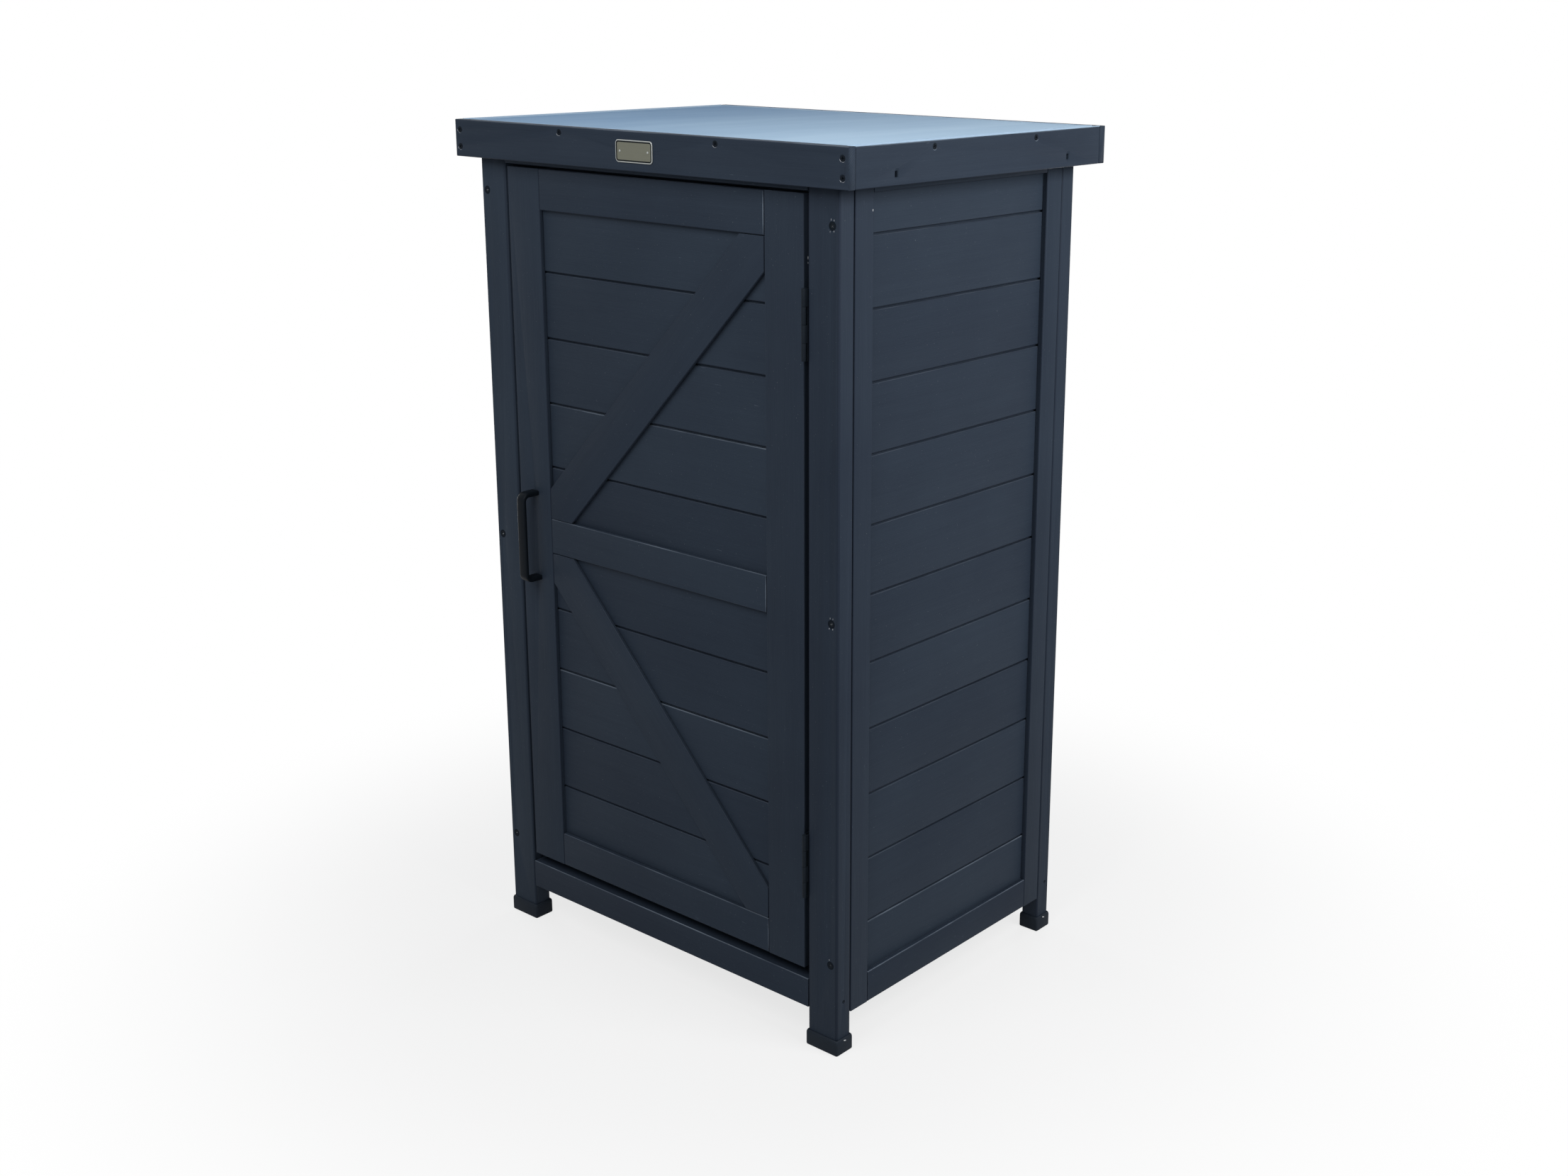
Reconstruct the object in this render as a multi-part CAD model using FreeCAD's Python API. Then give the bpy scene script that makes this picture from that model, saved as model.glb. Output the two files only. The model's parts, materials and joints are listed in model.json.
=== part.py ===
import FreeCAD, Part
import math
import os

# Garden storage cabinet: a timber carcass on four capped legs, a low flat roof and one braced door.
# Millimetres. X runs to the right as the front is seen, Y runs to the back and Z is up.
# The origin is on the ground, under the middle of the whole object.

# Main sizes
overall_height = 1175.0
carcass_width = 644.0
carcass_depth = 484.0

# Posts and the rails between the front posts
front_post_width = 50.0
rear_post_width = 28.0
post_depth = 28.0
post_rounding = 3.0
sill_rail_underside = 53.0
sill_rail_height = 42.0
head_rail_height = 42.0
edge_ease = 0.8

# Plastic foot caps
cap_wall = 2.0
cap_floor = 2.0
cap_height = 22.0
cap_clearance = 0.15
cap_corner = 2.0
cap_lip = 1.2

# Framed board panels of the two sides and the back
panel_thickness = 20.0
panel_stile_width = 35.0
panel_bottom_rail_height = 44.0
panel_top_rail_height = 45.0
panel_recess = 7.0
panel_first_course = 70.0

# Shiplap boards
board_thickness = 9.0
board_pitch = 90.0
board_gap = 2.0
board_lap = 8.0
board_ease = 1.0
board_clearance = 0.2

# Rebate that holds the board field in a frame
rebate_width = 8.0
rebate_clearance = 0.3

# Roof
side_overhang = 28.0
front_overhang = 18.0
back_overhang = 28.0
fascia_height = 50.0
fascia_thickness = 13.0
deck_thickness = 12.0
sheet_thickness = 1.0
sheet_step_run = 2.0
sheet_hem_width = 6.0
sheet_clearance = 0.3
roof_batten_height = 34.0

# Bare plate on the front fascia
plate_width = 66.0
plate_height = 28.0
plate_thickness = 1.0
plate_rounding = 4.0
plate_pin_spacing = 50.0
plate_pin_radius = 0.8
plate_pin_length = 8.0
plate_pin_head_radius = 1.5
plate_pin_head = 0.6

# Door
door_thickness = 20.5
door_stile_width = 64.0
door_top_rail_height = 55.0
door_mid_rail_height = 50.0
door_bottom_rail_height = 50.0
door_recess = 6.0
door_first_course = 74.0
door_handle_gap = 4.0
door_hinge_gap = 6.0
door_top_gap = 3.0
door_bottom_gap = 14.0
brace_width = 60.0
brace_clearance = 0.2

# Butt hinges
hinge_height = 88.0
hinge_top_inset = 111.0
hinge_bottom_inset = 104.0
hinge_leaf_thickness = 1.2
hinge_leaf_width = 20.0
hinge_knuckles = 4
hinge_knuckle_gap = 0.4
hinge_barrel_proud = 0.2
hinge_notch_clearance = 0.5
hinge_pin_clearance = 0.05
hinge_screw_spacing = 28.0
hinge_screw_stagger = 3.0
hinge_screw_length = 16.0
hinge_screw_head_radius = 2.7
hinge_screw_radius = 1.5

# Bow handle
handle_length = 130.0
handle_reach = 28.0
handle_width = 15.0
handle_grip_thickness = 5.5
handle_leg_thickness = 7.0
handle_bend = 12.0
handle_ease = 1.0
handle_drop = 3.5
handle_screw_radius = 2.0
handle_screw_bite = 8.0
handle_screw_head_radius = 4.0
handle_screw_head = 2.5

# Door stop, magnetic catch and its strike plate
stop_section = 15.0
stop_clearance = 0.5
catch_width = 40.0
catch_height = 14.0
catch_clearance = 0.3
catch_mouth_inset = 4.0
catch_mouth_depth = 3.0
catch_pole_thickness = 1.0
catch_pole_inset = 1.0
strike_width = 34.0
strike_height = 12.0
strike_thickness = 1.0

# Floor and shelves
floor_thickness = 12.0
floor_board_count = 5
shelf_thickness = 12.0
shelf_board_count = 4
shelf_count = 2
inner_board_gap = 4.0
inner_end_clearance = 0.5
bearer_section = 20.0

# Countersunk timber screws
screw_head_radius = 4.0
screw_radius = 1.75
screw_sink = 0.4
screw_clearance = 0.15
carcass_screw_length = 50.0
carcass_screw_inset = 11.5
carcass_screw_bottom_inset = 75.0
carcass_screw_top_inset = 80.0
carcass_screw_middle_drop = 10.5
corner_screw_length = 40.0
corner_screw_inset = 9.0
corner_screw_spacing = 22.5
deck_screw_length = 35.0
deck_screw_spacing_front = 280.0
deck_screw_spacing_side = 211.0
fixing_screw_length = 38.0
fixing_screw_front_inset = 70.0
fixing_screw_rear_inset = 58.0
fixing_screw_drop = 36.5
fixing_slot_width = 9.0
fixing_slot_height = 15.0
fixing_slot_depth = 5.0

# Nails that pin the lower rails through the posts
nail_radius = 1.5
nail_bite = 20.0

# Fasteners repeat many times, so their round parts have flat sides: this many on a head, on a shank and
# on each end of a slot
head_sides = 12
shank_sides = 6
slot_end_sides = 6

# Two lengths that differ by less than this are the same
same_length = 1e-6

# Places that follow from the sizes
V = FreeCAD.Vector
half_width = carcass_width / 2
front_reach = max(front_overhang, handle_reach)
front_y = front_reach - (front_reach + carcass_depth + back_overhang) / 2
back_y = front_y + carcass_depth
roof_half = half_width + side_overhang
roof_front = front_y - front_overhang
roof_back = back_y + back_overhang
roof_underside = overall_height - fascia_height
side_fascia_top = overall_height - sheet_thickness
deck_top = side_fascia_top - sheet_thickness
carcass_top = deck_top - deck_thickness
sill_top = sill_rail_underside + sill_rail_height
head_underside = carcass_top - head_rail_height
door_left = -half_width + front_post_width + door_handle_gap
door_right = half_width - front_post_width - door_hinge_gap
door_bottom = sill_top + door_bottom_gap
door_top = head_underside - door_top_gap
door_middle = (door_bottom + door_bottom_rail_height + door_top - door_top_rail_height) / 2
door_back = front_y + door_thickness
hinge_x = door_right + door_hinge_gap / 2
hinge_barrel_radius = door_hinge_gap / 2
hinge_bore_radius = hinge_barrel_radius - hinge_leaf_thickness
hinge_y = front_y - hinge_barrel_radius - hinge_barrel_proud
hinge_bottoms = (door_bottom + hinge_bottom_inset, door_top - hinge_top_inset - hinge_height)
handle_x = door_left + door_stile_width / 2
handle_z = door_middle - handle_drop
inner_front = front_y + post_depth
inner_back = back_y - post_depth
inner_half = half_width - panel_thickness
stop_bottom = head_underside - stop_section
stop_front = door_back + stop_clearance
stop_back = stop_front + stop_section

nodes = {}


def span(middle, length):
    """The two limits of a length that is centred on a place."""
    return (middle - length / 2, middle + length / 2)


def mirrored(sign, near, far):
    """The two limits, low first, of a length on one side of the middle. Sign is -1 for the left."""
    return tuple(sorted((sign * near, sign * far)))


def block(x, y, z):
    """A box between two limits along each axis."""
    return Part.makeBox(x[1] - x[0], y[1] - y[0], z[1] - z[0], V(x[0], y[0], z[0]))


def edges_along(body, axis):
    """The straight edges of a body that run along one axis: 0, 1 or 2 for X, Y or Z."""
    found = []
    for edge in body.Edges:
        ends = [vertex.Point for vertex in edge.Vertexes]
        if len(ends) == 2 and abs(abs((ends[1] - ends[0])[axis]) - edge.Length) < same_length:
            found.append(edge)
    return found


def bar(x, y, z):
    """A planed timber bar: a box whose four long edges are eased."""
    sides = [x[1] - x[0], y[1] - y[0], z[1] - z[0]]
    body = block(x, y, z)
    return body.makeChamfer(edge_ease, edges_along(body, sides.index(max(sides))))


def group(bodies):
    """Separate solids that share one node."""
    return Part.makeCompound(bodies)


def prism(points, axis, length):
    """A straight extrusion of a closed outline."""
    wire = Part.makePolygon(points + [points[0]])
    return Part.Face(wire).extrude(axis * length)


def placed(body, angle, x, y):
    """A copy that is turned about the vertical and then moved."""
    copy = body.copy()
    copy.Placement = FreeCAD.Placement(V(x, y, 0.0), FreeCAD.Rotation(V(0, 0, 1), angle))
    return copy


# Posts and foot caps

def post(x, y):
    """A leg post from its foot cap to the roof deck, with softly rounded long edges."""
    body = block(x, y, (cap_floor, carcass_top))
    return body.makeFillet(post_rounding, edges_along(body, 2))


def foot_cap(x, y):
    """A cup that the foot of a post stands in. Its corners are cut off and its rim slopes inwards."""
    grow = cap_clearance + cap_wall
    body = block((x[0] - grow, x[1] + grow), (y[0] - grow, y[1] + grow), (0.0, cap_height))
    body = body.makeChamfer(cap_corner, edges_along(body, 2))
    rim = [edge for edge in body.Edges if all(abs(end.Z - cap_height) < same_length for end in edge.Vertexes)]
    body = body.makeChamfer(cap_lip, rim)
    pocket_x = (x[0] - cap_clearance, x[1] + cap_clearance)
    pocket_y = (y[0] - cap_clearance, y[1] + cap_clearance)
    return body.cut(block(pocket_x, pocket_y, (cap_floor, cap_height)))


post_widths = {"front": front_post_width, "rear": rear_post_width}
post_places = {"front": (front_y, inner_front), "rear": (inner_back, back_y)}
for row, width in post_widths.items():
    for side, sign in (("left", -1), ("right", 1)):
        post_x = mirrored(sign, half_width - width, half_width)
        nodes[f"{row}_post_{side}"] = post(post_x, post_places[row])
        nodes[f"foot_cap_{row}_{side}"] = foot_cap(post_x, post_places[row])

front_bay = (-half_width + front_post_width, half_width - front_post_width)
nodes["sill_rail"] = bar(front_bay, (front_y, inner_front), (sill_rail_underside, sill_top))
nodes["head_rail"] = bar(front_bay, (front_y, inner_front), (head_underside, carcass_top))


# Framed panels. A panel is made with its face on Y = 0, its depth behind it, and then turned into place

def field_pocket(x, z, recess, thickness):
    """The rebated space behind the inner edge of a frame, where the board field lies."""
    grown_x = (x[0] - rebate_width, x[1] + rebate_width)
    grown_z = (z[0] - rebate_width, z[1] + rebate_width)
    return block(grown_x, (recess, thickness), grown_z)


def shiplap(x, z, recess, first_course):
    """Boards that fill a frame's opening. The second board's foot lies first_course above its lower edge.
    The tongue of each board stands up behind the foot of the next, with a shadow gap between faces."""
    low_x, high_x = x[0] - rebate_width + rebate_clearance, x[1] + rebate_width - rebate_clearance
    low_z, high_z = z[0] - rebate_width + rebate_clearance, z[1] + rebate_width - rebate_clearance
    face, back = recess, recess + board_thickness
    middle = (face + back) / 2
    field = block((low_x, high_x), (face, back), (low_z, high_z))
    joint = z[0] + first_course
    first = math.floor((low_z - joint + board_gap) / board_pitch)
    last = math.ceil((high_z - joint) / board_pitch)
    boards = []
    for course in range(first, last):
        foot = joint + course * board_pitch
        head = foot + board_pitch - board_gap
        tongue = head + board_gap + board_lap
        notch = foot + board_lap + board_clearance
        outline = [
            (face + board_ease, foot),
            (face, foot + board_ease),
            (face, head - board_ease),
            (face + board_ease, head),
            (middle + board_clearance, head),
            (middle + board_clearance, tongue),
            (back, tongue),
            (back, notch),
            (middle, notch),
            (middle, foot),
        ]
        board = prism([V(low_x, depth, height) for depth, height in outline], V(1, 0, 0), high_x - low_x)
        boards.append(board.common(field))
    return boards


def framed_panel(width):
    """A carcass panel: two full-height stiles, two rails between them and the boards in their rebates."""
    low, high = sill_rail_underside, carcass_top
    depth = (0.0, panel_thickness)
    opening_x = (panel_stile_width, width - panel_stile_width)
    opening_z = (low + panel_bottom_rail_height, high - panel_top_rail_height)
    pocket = field_pocket(opening_x, opening_z, panel_recess, panel_thickness)
    return {
        "start_stile": bar((0.0, opening_x[0]), depth, (low, high)).cut(pocket),
        "end_stile": bar((opening_x[1], width), depth, (low, high)).cut(pocket),
        "bottom_rail": bar(opening_x, depth, (low, opening_z[0])).cut(pocket),
        "top_rail": bar(opening_x, depth, (opening_z[1], high)).cut(pocket),
        "boards": group(shiplap(opening_x, opening_z, panel_recess, panel_first_course)),
    }


side_panel = framed_panel(inner_back - inner_front)
for piece, body in side_panel.items():
    right_name = piece.replace("start", "front").replace("end", "rear")
    left_name = piece.replace("start", "rear").replace("end", "front")
    nodes[f"right_panel_{right_name}"] = placed(body, 90, half_width, inner_front)
    nodes[f"left_panel_{left_name}"] = placed(body, -90, -half_width, inner_back)

back_half = half_width - rear_post_width
back_panel = framed_panel(2 * back_half)
back_panel = {piece: placed(body, 180, back_half, back_y) for piece, body in back_panel.items()}
nodes["back_panel_stiles"] = group([back_panel["start_stile"], back_panel["end_stile"]])
nodes["back_panel_rails"] = group([back_panel["top_rail"], back_panel["bottom_rail"]])
nodes["back_panel_boards"] = back_panel["boards"]


# Floor and shelves: loose boards on bearers that are fixed to the side panels

def bearers(top):
    """A pair of bearers under a floor or shelf, one on each side panel."""
    y = (inner_front, inner_back)
    z = (top - bearer_section, top)
    return [bar(mirrored(sign, inner_half - bearer_section, inner_half), y, z) for sign in (-1, 1)]


def inner_boards(top, thickness, count):
    """Boards from side to side, evenly spread between the front and rear posts."""
    room = inner_back - inner_front
    width = (room - (count - 1) * inner_board_gap) / count
    half_length = inner_half - inner_end_clearance
    boards = []
    for number in range(count):
        start = inner_front + number * (width + inner_board_gap)
        boards.append(bar((-half_length, half_length), (start, start + width), (top - thickness, top)))
    return group(boards)


nodes["floor_bearers"] = group(bearers(sill_top - floor_thickness))
nodes["floor_boards"] = inner_boards(sill_top, floor_thickness, floor_board_count)

shelf_spacing = (stop_bottom - sill_top) / (shelf_count + 1)
shelf_tops = [sill_top + shelf_spacing * (number + 1) for number in range(shelf_count)]
shelf_names = ["lower", "upper"] + [f"extra_{number}" for number in range(2, shelf_count)]
shelf_bearers = []
for name, top in zip(shelf_names, shelf_tops):
    shelf_bearers += bearers(top - shelf_thickness)
    nodes[f"shelf_boards_{name}"] = inner_boards(top, shelf_thickness, shelf_board_count)
nodes["shelf_bearers"] = group(shelf_bearers)


# Roof: fascia boards round a deck, a metal sheet on top and a batten inside each side fascia

fascia_inner_half = roof_half - fascia_thickness
fascia_inner_y = (roof_front + fascia_thickness, roof_back - fascia_thickness)
long_fascia = ((-roof_half, roof_half), (roof_underside, overall_height))
nodes["roof_fascia_front"] = bar(long_fascia[0], (roof_front, fascia_inner_y[0]), long_fascia[1])
nodes["roof_fascia_back"] = bar(long_fascia[0], (fascia_inner_y[1], roof_back), long_fascia[1])
deck_z = (carcass_top, deck_top)
nodes["roof_deck"] = block((-fascia_inner_half, fascia_inner_half), fascia_inner_y, deck_z)
roof_battens = []
for side, sign in (("left", -1), ("right", 1)):
    fascia_x = mirrored(sign, fascia_inner_half, roof_half)
    batten_x = mirrored(sign, half_width, fascia_inner_half)
    nodes[f"roof_fascia_{side}"] = bar(fascia_x, fascia_inner_y, (roof_underside, side_fascia_top))
    roof_battens.append(bar(batten_x, fascia_inner_y, (carcass_top - roof_batten_height, carcass_top)))
nodes["roof_battens"] = group(roof_battens)


def roof_sheet():
    """A sheet bent up over the side fascias, with a folded hem along its front and back edges."""
    bend = fascia_inner_half - sheet_step_run
    upper_side = [
        (roof_half, side_fascia_top),
        (roof_half, overall_height),
        (fascia_inner_half, overall_height),
        (bend, side_fascia_top),
    ]
    under_side = [
        (bend, deck_top),
        (fascia_inner_half, side_fascia_top),
    ]
    outline = upper_side + [(-x, z) for x, z in reversed(upper_side)]
    outline += [(-x, z) for x, z in reversed(under_side)] + under_side
    y = (fascia_inner_y[0] + sheet_clearance, fascia_inner_y[1] - sheet_clearance)
    sheet = prism([V(x, y[0], z) for x, z in outline], V(0, 1, 0), y[1] - y[0])
    for hem_y in ((y[0], y[0] + sheet_hem_width), (y[1] - sheet_hem_width, y[1])):
        sheet = sheet.fuse(block((-bend, bend), hem_y, (side_fascia_top, overall_height)))
    return sheet.removeSplitter()


nodes["roof_sheet"] = roof_sheet()

plate_middle = roof_underside + fascia_height / 2
plate_y = (roof_front - plate_thickness, roof_front)
name_plate = block(span(0.0, plate_width), plate_y, span(plate_middle, plate_height))
nodes["name_plate"] = name_plate.makeFillet(plate_rounding, edges_along(name_plate, 1))


# Door: two stiles, three rails, shiplap boards in both openings and a brace across each

def brace(x, z, rise):
    """A flat brace from corner to corner of an opening. It climbs to the hinge side where rise is 1.
    Both ends are cut to the corner they stand in."""
    room_x = (x[0] + brace_clearance, x[1] - brace_clearance)
    room_z = (z[0] + brace_clearance, z[1] - brace_clearance)
    run, climb = x[1] - x[0], z[1] - z[0]
    diagonal = math.hypot(run, climb)
    strip = bar((-diagonal, diagonal), (0.0, door_recess), span(0.0, brace_width))
    middle = V((x[0] + x[1]) / 2, 0.0, (z[0] + z[1]) / 2)
    turn = FreeCAD.Rotation(V(0, 1, 0), -rise * math.degrees(math.atan2(climb, run)))
    strip.Placement = FreeCAD.Placement(middle, turn)
    return strip.common(block(room_x, (0.0, door_recess), room_z))


def door_leaf():
    """The timber parts of the door, in the same local form as the carcass panels."""
    width = door_right - door_left
    depth = (0.0, door_thickness)
    opening_x = (door_stile_width, width - door_stile_width)
    mid_rail = span(door_middle, door_mid_rail_height)
    lower = (door_bottom + door_bottom_rail_height, mid_rail[0])
    upper = (mid_rail[1], door_top - door_top_rail_height)
    pockets = group([field_pocket(opening_x, z, door_recess, door_thickness) for z in (lower, upper)])
    boards = []
    for z in (lower, upper):
        boards += shiplap(opening_x, z, door_recess, door_first_course)
    return {
        "door_handle_stile": bar((0.0, opening_x[0]), depth, (door_bottom, door_top)).cut(pockets),
        "door_hinge_stile": bar((opening_x[1], width), depth, (door_bottom, door_top)).cut(pockets),
        "door_bottom_rail": bar(opening_x, depth, (door_bottom, lower[0])).cut(pockets),
        "door_mid_rail": bar(opening_x, depth, mid_rail).cut(pockets),
        "door_top_rail": bar(opening_x, depth, (upper[1], door_top)).cut(pockets),
        "door_boards": group(boards),
        "door_brace_lower": brace(opening_x, lower, -1),
        "door_brace_upper": brace(opening_x, upper, 1),
    }


for name, body in door_leaf().items():
    nodes[name] = placed(body, 0, door_left, front_y)


# Butt hinges: two leaves with interleaved rolled knuckles on one pin. The leaves lie on the edges of
# door and post, and the barrel stands in front of the gap

def hinge_leaf(bottom, side):
    """One leaf. Side is -1 for the door's leaf and 1 for the post's. Knuckles alternate between the two
    leaves from the bottom, door first, and each leaf is notched where the other has its knuckle."""
    outer = hinge_x + side * hinge_barrel_radius
    plate_x = tuple(sorted((outer, outer - side * hinge_leaf_thickness)))
    leaf = block(plate_x, (hinge_y, hinge_y + hinge_leaf_width), (bottom, bottom + hinge_height))
    notch_y = (hinge_y, hinge_y + hinge_barrel_radius + hinge_notch_clearance)
    pitch = hinge_height / hinge_knuckles
    for number in range(hinge_knuckles):
        foot = bottom + number * pitch
        if number % 2 == max(side, 0):
            start = V(hinge_x, hinge_y, foot + hinge_knuckle_gap / 2)
            length = pitch - hinge_knuckle_gap
            roll = Part.makeCylinder(hinge_barrel_radius, length, start)
            leaf = leaf.fuse(roll).cut(Part.makeCylinder(hinge_bore_radius, length, start))
        else:
            leaf = leaf.cut(block(plate_x, notch_y, (foot, foot + pitch)))
    return leaf.removeSplitter()


def hinge_pin(bottom):
    """The pin through all knuckles of a hinge, flush with the ends of the leaves."""
    radius = hinge_bore_radius - hinge_pin_clearance
    return Part.makeCylinder(radius, hinge_height, V(hinge_x, hinge_y, bottom))


for name, bottom in zip(("lower", "upper"), hinge_bottoms):
    nodes[f"hinge_post_leaf_{name}"] = hinge_leaf(bottom, 1)
    nodes[f"hinge_door_leaf_{name}"] = hinge_leaf(bottom, -1)
nodes["hinge_pins"] = group([hinge_pin(bottom) for bottom in hinge_bottoms])


# Handle: a flat bar bent to a bow, near the middle of the stile

def front_corners(body):
    """The edges of a body across the door that stand in front of the stile's face."""
    return [edge for edge in edges_along(body, 0) if edge.Vertexes[0].Y < front_y - same_length]


def bow_handle():
    """A bow: a block with two rounded corners, less a smaller one, with the grip's edges eased."""
    x = span(handle_x, handle_width)
    outside = block(x, (front_y - handle_reach, front_y), span(handle_z, handle_length))
    outside = outside.makeFillet(handle_bend, front_corners(outside))
    inner_length = handle_length - 2 * handle_leg_thickness
    grip_back = front_y - handle_reach + handle_grip_thickness
    inside = block(x, (grip_back, front_y), span(handle_z, inner_length))
    inside = inside.makeFillet(handle_bend - handle_grip_thickness, front_corners(inside))
    bow = outside.cut(inside)
    rims = []
    for edge in bow.Edges:
        ends = [vertex.Point for vertex in edge.Vertexes]
        along_side = abs(ends[0].x - ends[-1].x) < same_length
        on_foot = all(abs(end.y - front_y) < same_length for end in ends)
        if along_side and not on_foot:
            rims.append(edge)
    return bow.makeChamfer(handle_ease, rims)


nodes["door_handle"] = bow_handle()


# Door stop under the head rail, magnetic catch under the stop and its strike plate on the door

def magnetic_catch():
    """A case with a shallow mouth towards the door, and the edges of two pole plates in the mouth."""
    mouth_front = door_back + strike_thickness + catch_clearance
    mouth_y = (mouth_front, mouth_front + catch_mouth_depth)
    case_z = (stop_bottom - catch_height, stop_bottom)
    case = block(span(handle_x, catch_width), (mouth_front, stop_back), case_z)
    mouth_width = catch_width - 2 * catch_mouth_inset
    mouth_z = span(stop_bottom - catch_height / 2, catch_height - 2 * catch_mouth_inset)
    case = case.cut(block(span(handle_x, mouth_width), mouth_y, mouth_z))
    pole_x = span(handle_x, mouth_width - 2 * catch_pole_inset)
    for pole_foot in (mouth_z[0], mouth_z[1] - catch_pole_thickness):
        case = case.fuse(block(pole_x, mouth_y, (pole_foot, pole_foot + catch_pole_thickness)))
    return case.removeSplitter()


nodes["door_stop"] = bar(front_bay, (stop_front, stop_back), (stop_bottom, head_underside))
nodes["magnetic_catch"] = magnetic_catch()
strike_y = (door_back, door_back + strike_thickness)
strike_z = span(stop_bottom - catch_height / 2, strike_height)
nodes["catch_strike_plate"] = block(span(handle_x, strike_width), strike_y, strike_z)


# Screws, pins and nails, each with the hole that it passes through

def ring(sides, radius, height):
    """The corners of a regular outline round the Z axis at a height."""
    turns = [2 * math.pi * number / sides for number in range(sides)]
    return [V(radius * math.cos(turn), radius * math.sin(turn), height) for turn in turns]


def flat_face(corners):
    """A flat face between corners."""
    return Part.Face(Part.makePolygon(corners + corners[:1]))


def head(radii, heights):
    """A round head with flat sides that tapers from one radius and height to another."""
    low, high = (ring(head_sides, radius, height) for radius, height in zip(radii, heights))
    faces = [flat_face(low), flat_face(high)]
    for number in range(head_sides):
        before = number - 1
        faces.append(flat_face([low[before], low[number], high[number], high[before]]))
    return Part.Solid(Part.Shell(faces))


def shank(radius, low, high):
    """A round shank with flat sides between two heights."""
    return flat_face(ring(shank_sides, radius, low)).extrude(V(0, 0, high - low))


def aimed(body, place, direction):
    """A body moved so that its foot is at a place and its axis along a direction."""
    body.Placement = FreeCAD.Placement(place, FreeCAD.Rotation(V(0, 0, 1), direction))
    return body


def countersunk(place, direction, head_radius, shank_radius, length, sink=0.0):
    """The maker of a screw whose head tapers at 45 degrees and is sunk in the surface at a place."""
    neck = sink + head_radius - shank_radius

    def make(grow):
        rise = sink if grow else 0.0
        radii = (head_radius + grow + rise, shank_radius + grow)
        body = head(radii, (sink - rise, neck)).fuse(shank(shank_radius + grow, neck, length + grow))
        return aimed(body, place, direction)
    return make


def flat_headed(place, direction, head_radius, head_depth, shank_radius, length):
    """The maker of a screw or pin whose flat head lies on the surface at a place."""
    def make(grow):
        body = shank(shank_radius + grow, 0.0, length + grow)
        if not grow:
            body = body.fuse(head((head_radius, head_radius), (-head_depth, 0.0)))
        return aimed(body, place, direction)
    return make


def nail(place, direction, length):
    """The maker of a nail driven flush with the surface at a place."""
    return lambda grow: aimed(shank(nail_radius + grow, 0.0, length + grow), place, direction)


def timber_screw(place, direction, length):
    """The maker of a timber screw whose head is sunk just below the surface at a place."""
    return countersunk(place, direction, screw_head_radius, screw_radius, length, screw_sink)


def carcass_screws():
    """Three screws through each post into the edge of the side panel's stile."""
    low = sill_rail_underside + carcass_screw_bottom_inset
    high = carcass_top - carcass_screw_top_inset
    middle = (low + high) / 2 - carcass_screw_middle_drop
    makers = []
    for sign in (-1, 1):
        x = sign * (half_width - carcass_screw_inset)
        for y, direction in ((front_y, V(0, 1, 0)), (back_y, V(0, -1, 0))):
            for z in (low, middle, high):
                makers.append(timber_screw(V(x, y, z), direction, carcass_screw_length))
    return makers


def deck_screws():
    """Two screws in each end of the long fascias, and two through every fascia into the deck's edge."""
    makers = []
    across = roof_half - corner_screw_inset
    middle_y = sum(fascia_inner_y) / 2
    middle_z = sum(deck_z) / 2
    for y, direction in ((roof_front, V(0, 1, 0)), (roof_back, V(0, -1, 0))):
        for x in (-across, across):
            for z in span(plate_middle, corner_screw_spacing):
                makers.append(timber_screw(V(x, y, z), direction, corner_screw_length))
        for x in span(0.0, deck_screw_spacing_front):
            makers.append(timber_screw(V(x, y, middle_z), direction, deck_screw_length))
    for sign in (-1, 1):
        for y in span(middle_y, deck_screw_spacing_side):
            place = V(sign * roof_half, y, middle_z)
            makers.append(timber_screw(place, V(-sign, 0, 0), deck_screw_length))
    return makers


def fixing_places():
    """Where the screws that hold the roof on the carcass enter the side fascias, and their directions."""
    z = overall_height - fixing_screw_drop
    places = []
    for sign in (-1, 1):
        for y in (front_y + fixing_screw_front_inset, back_y - fixing_screw_rear_inset):
            places.append((V(sign * roof_half, y, z), V(-sign, 0, 0)))
    return places


def fixing_slot(place, direction):
    """A tall slot with round ends, sunk in the face of a fascia, so that the roof can be set level."""
    radius = fixing_slot_width / 2
    rise = fixing_slot_height / 2 - radius
    outline = []
    for start, end_height in ((0.0, rise), (math.pi, -rise)):
        for number in range(slot_end_sides + 1):
            turn = start + math.pi * number / slot_end_sides
            outline.append(place + V(0, radius * math.cos(turn), end_height + radius * math.sin(turn)))
    return prism(outline, direction, fixing_slot_depth)


def fixing_screws():
    """The screws in the slots, through fascia and batten into the side panel."""
    makers = []
    for place, direction in fixing_places():
        slot_floor = place + direction * fixing_slot_depth
        makers.append(timber_screw(slot_floor, direction, fixing_screw_length))
    return makers


def hinge_screws(side):
    """Three staggered screws in each leaf of one side: -1 for the door's, 1 for the post's."""
    face = hinge_x + side * hinge_bore_radius
    middle_y = (front_y + hinge_y + hinge_leaf_width) / 2
    makers = []
    for bottom in hinge_bottoms:
        for step in (-1, 0, 1):
            y = middle_y + (abs(step) - 0.5) * hinge_screw_stagger
            place = V(face, y, bottom + hinge_height / 2 + step * hinge_screw_spacing)
            sizes = (hinge_screw_head_radius, hinge_screw_radius, hinge_screw_length)
            makers.append(countersunk(place, V(side, 0, 0), *sizes))
    return makers


def handle_screws():
    """Machine screws from the back of the stile into the legs of the handle."""
    length = door_thickness + handle_screw_bite
    sizes = (handle_screw_head_radius, handle_screw_head, handle_screw_radius, length)
    heights = span(handle_z, handle_length - handle_leg_thickness)
    return [flat_headed(V(handle_x, door_back, z), V(0, -1, 0), *sizes) for z in heights]


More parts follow.
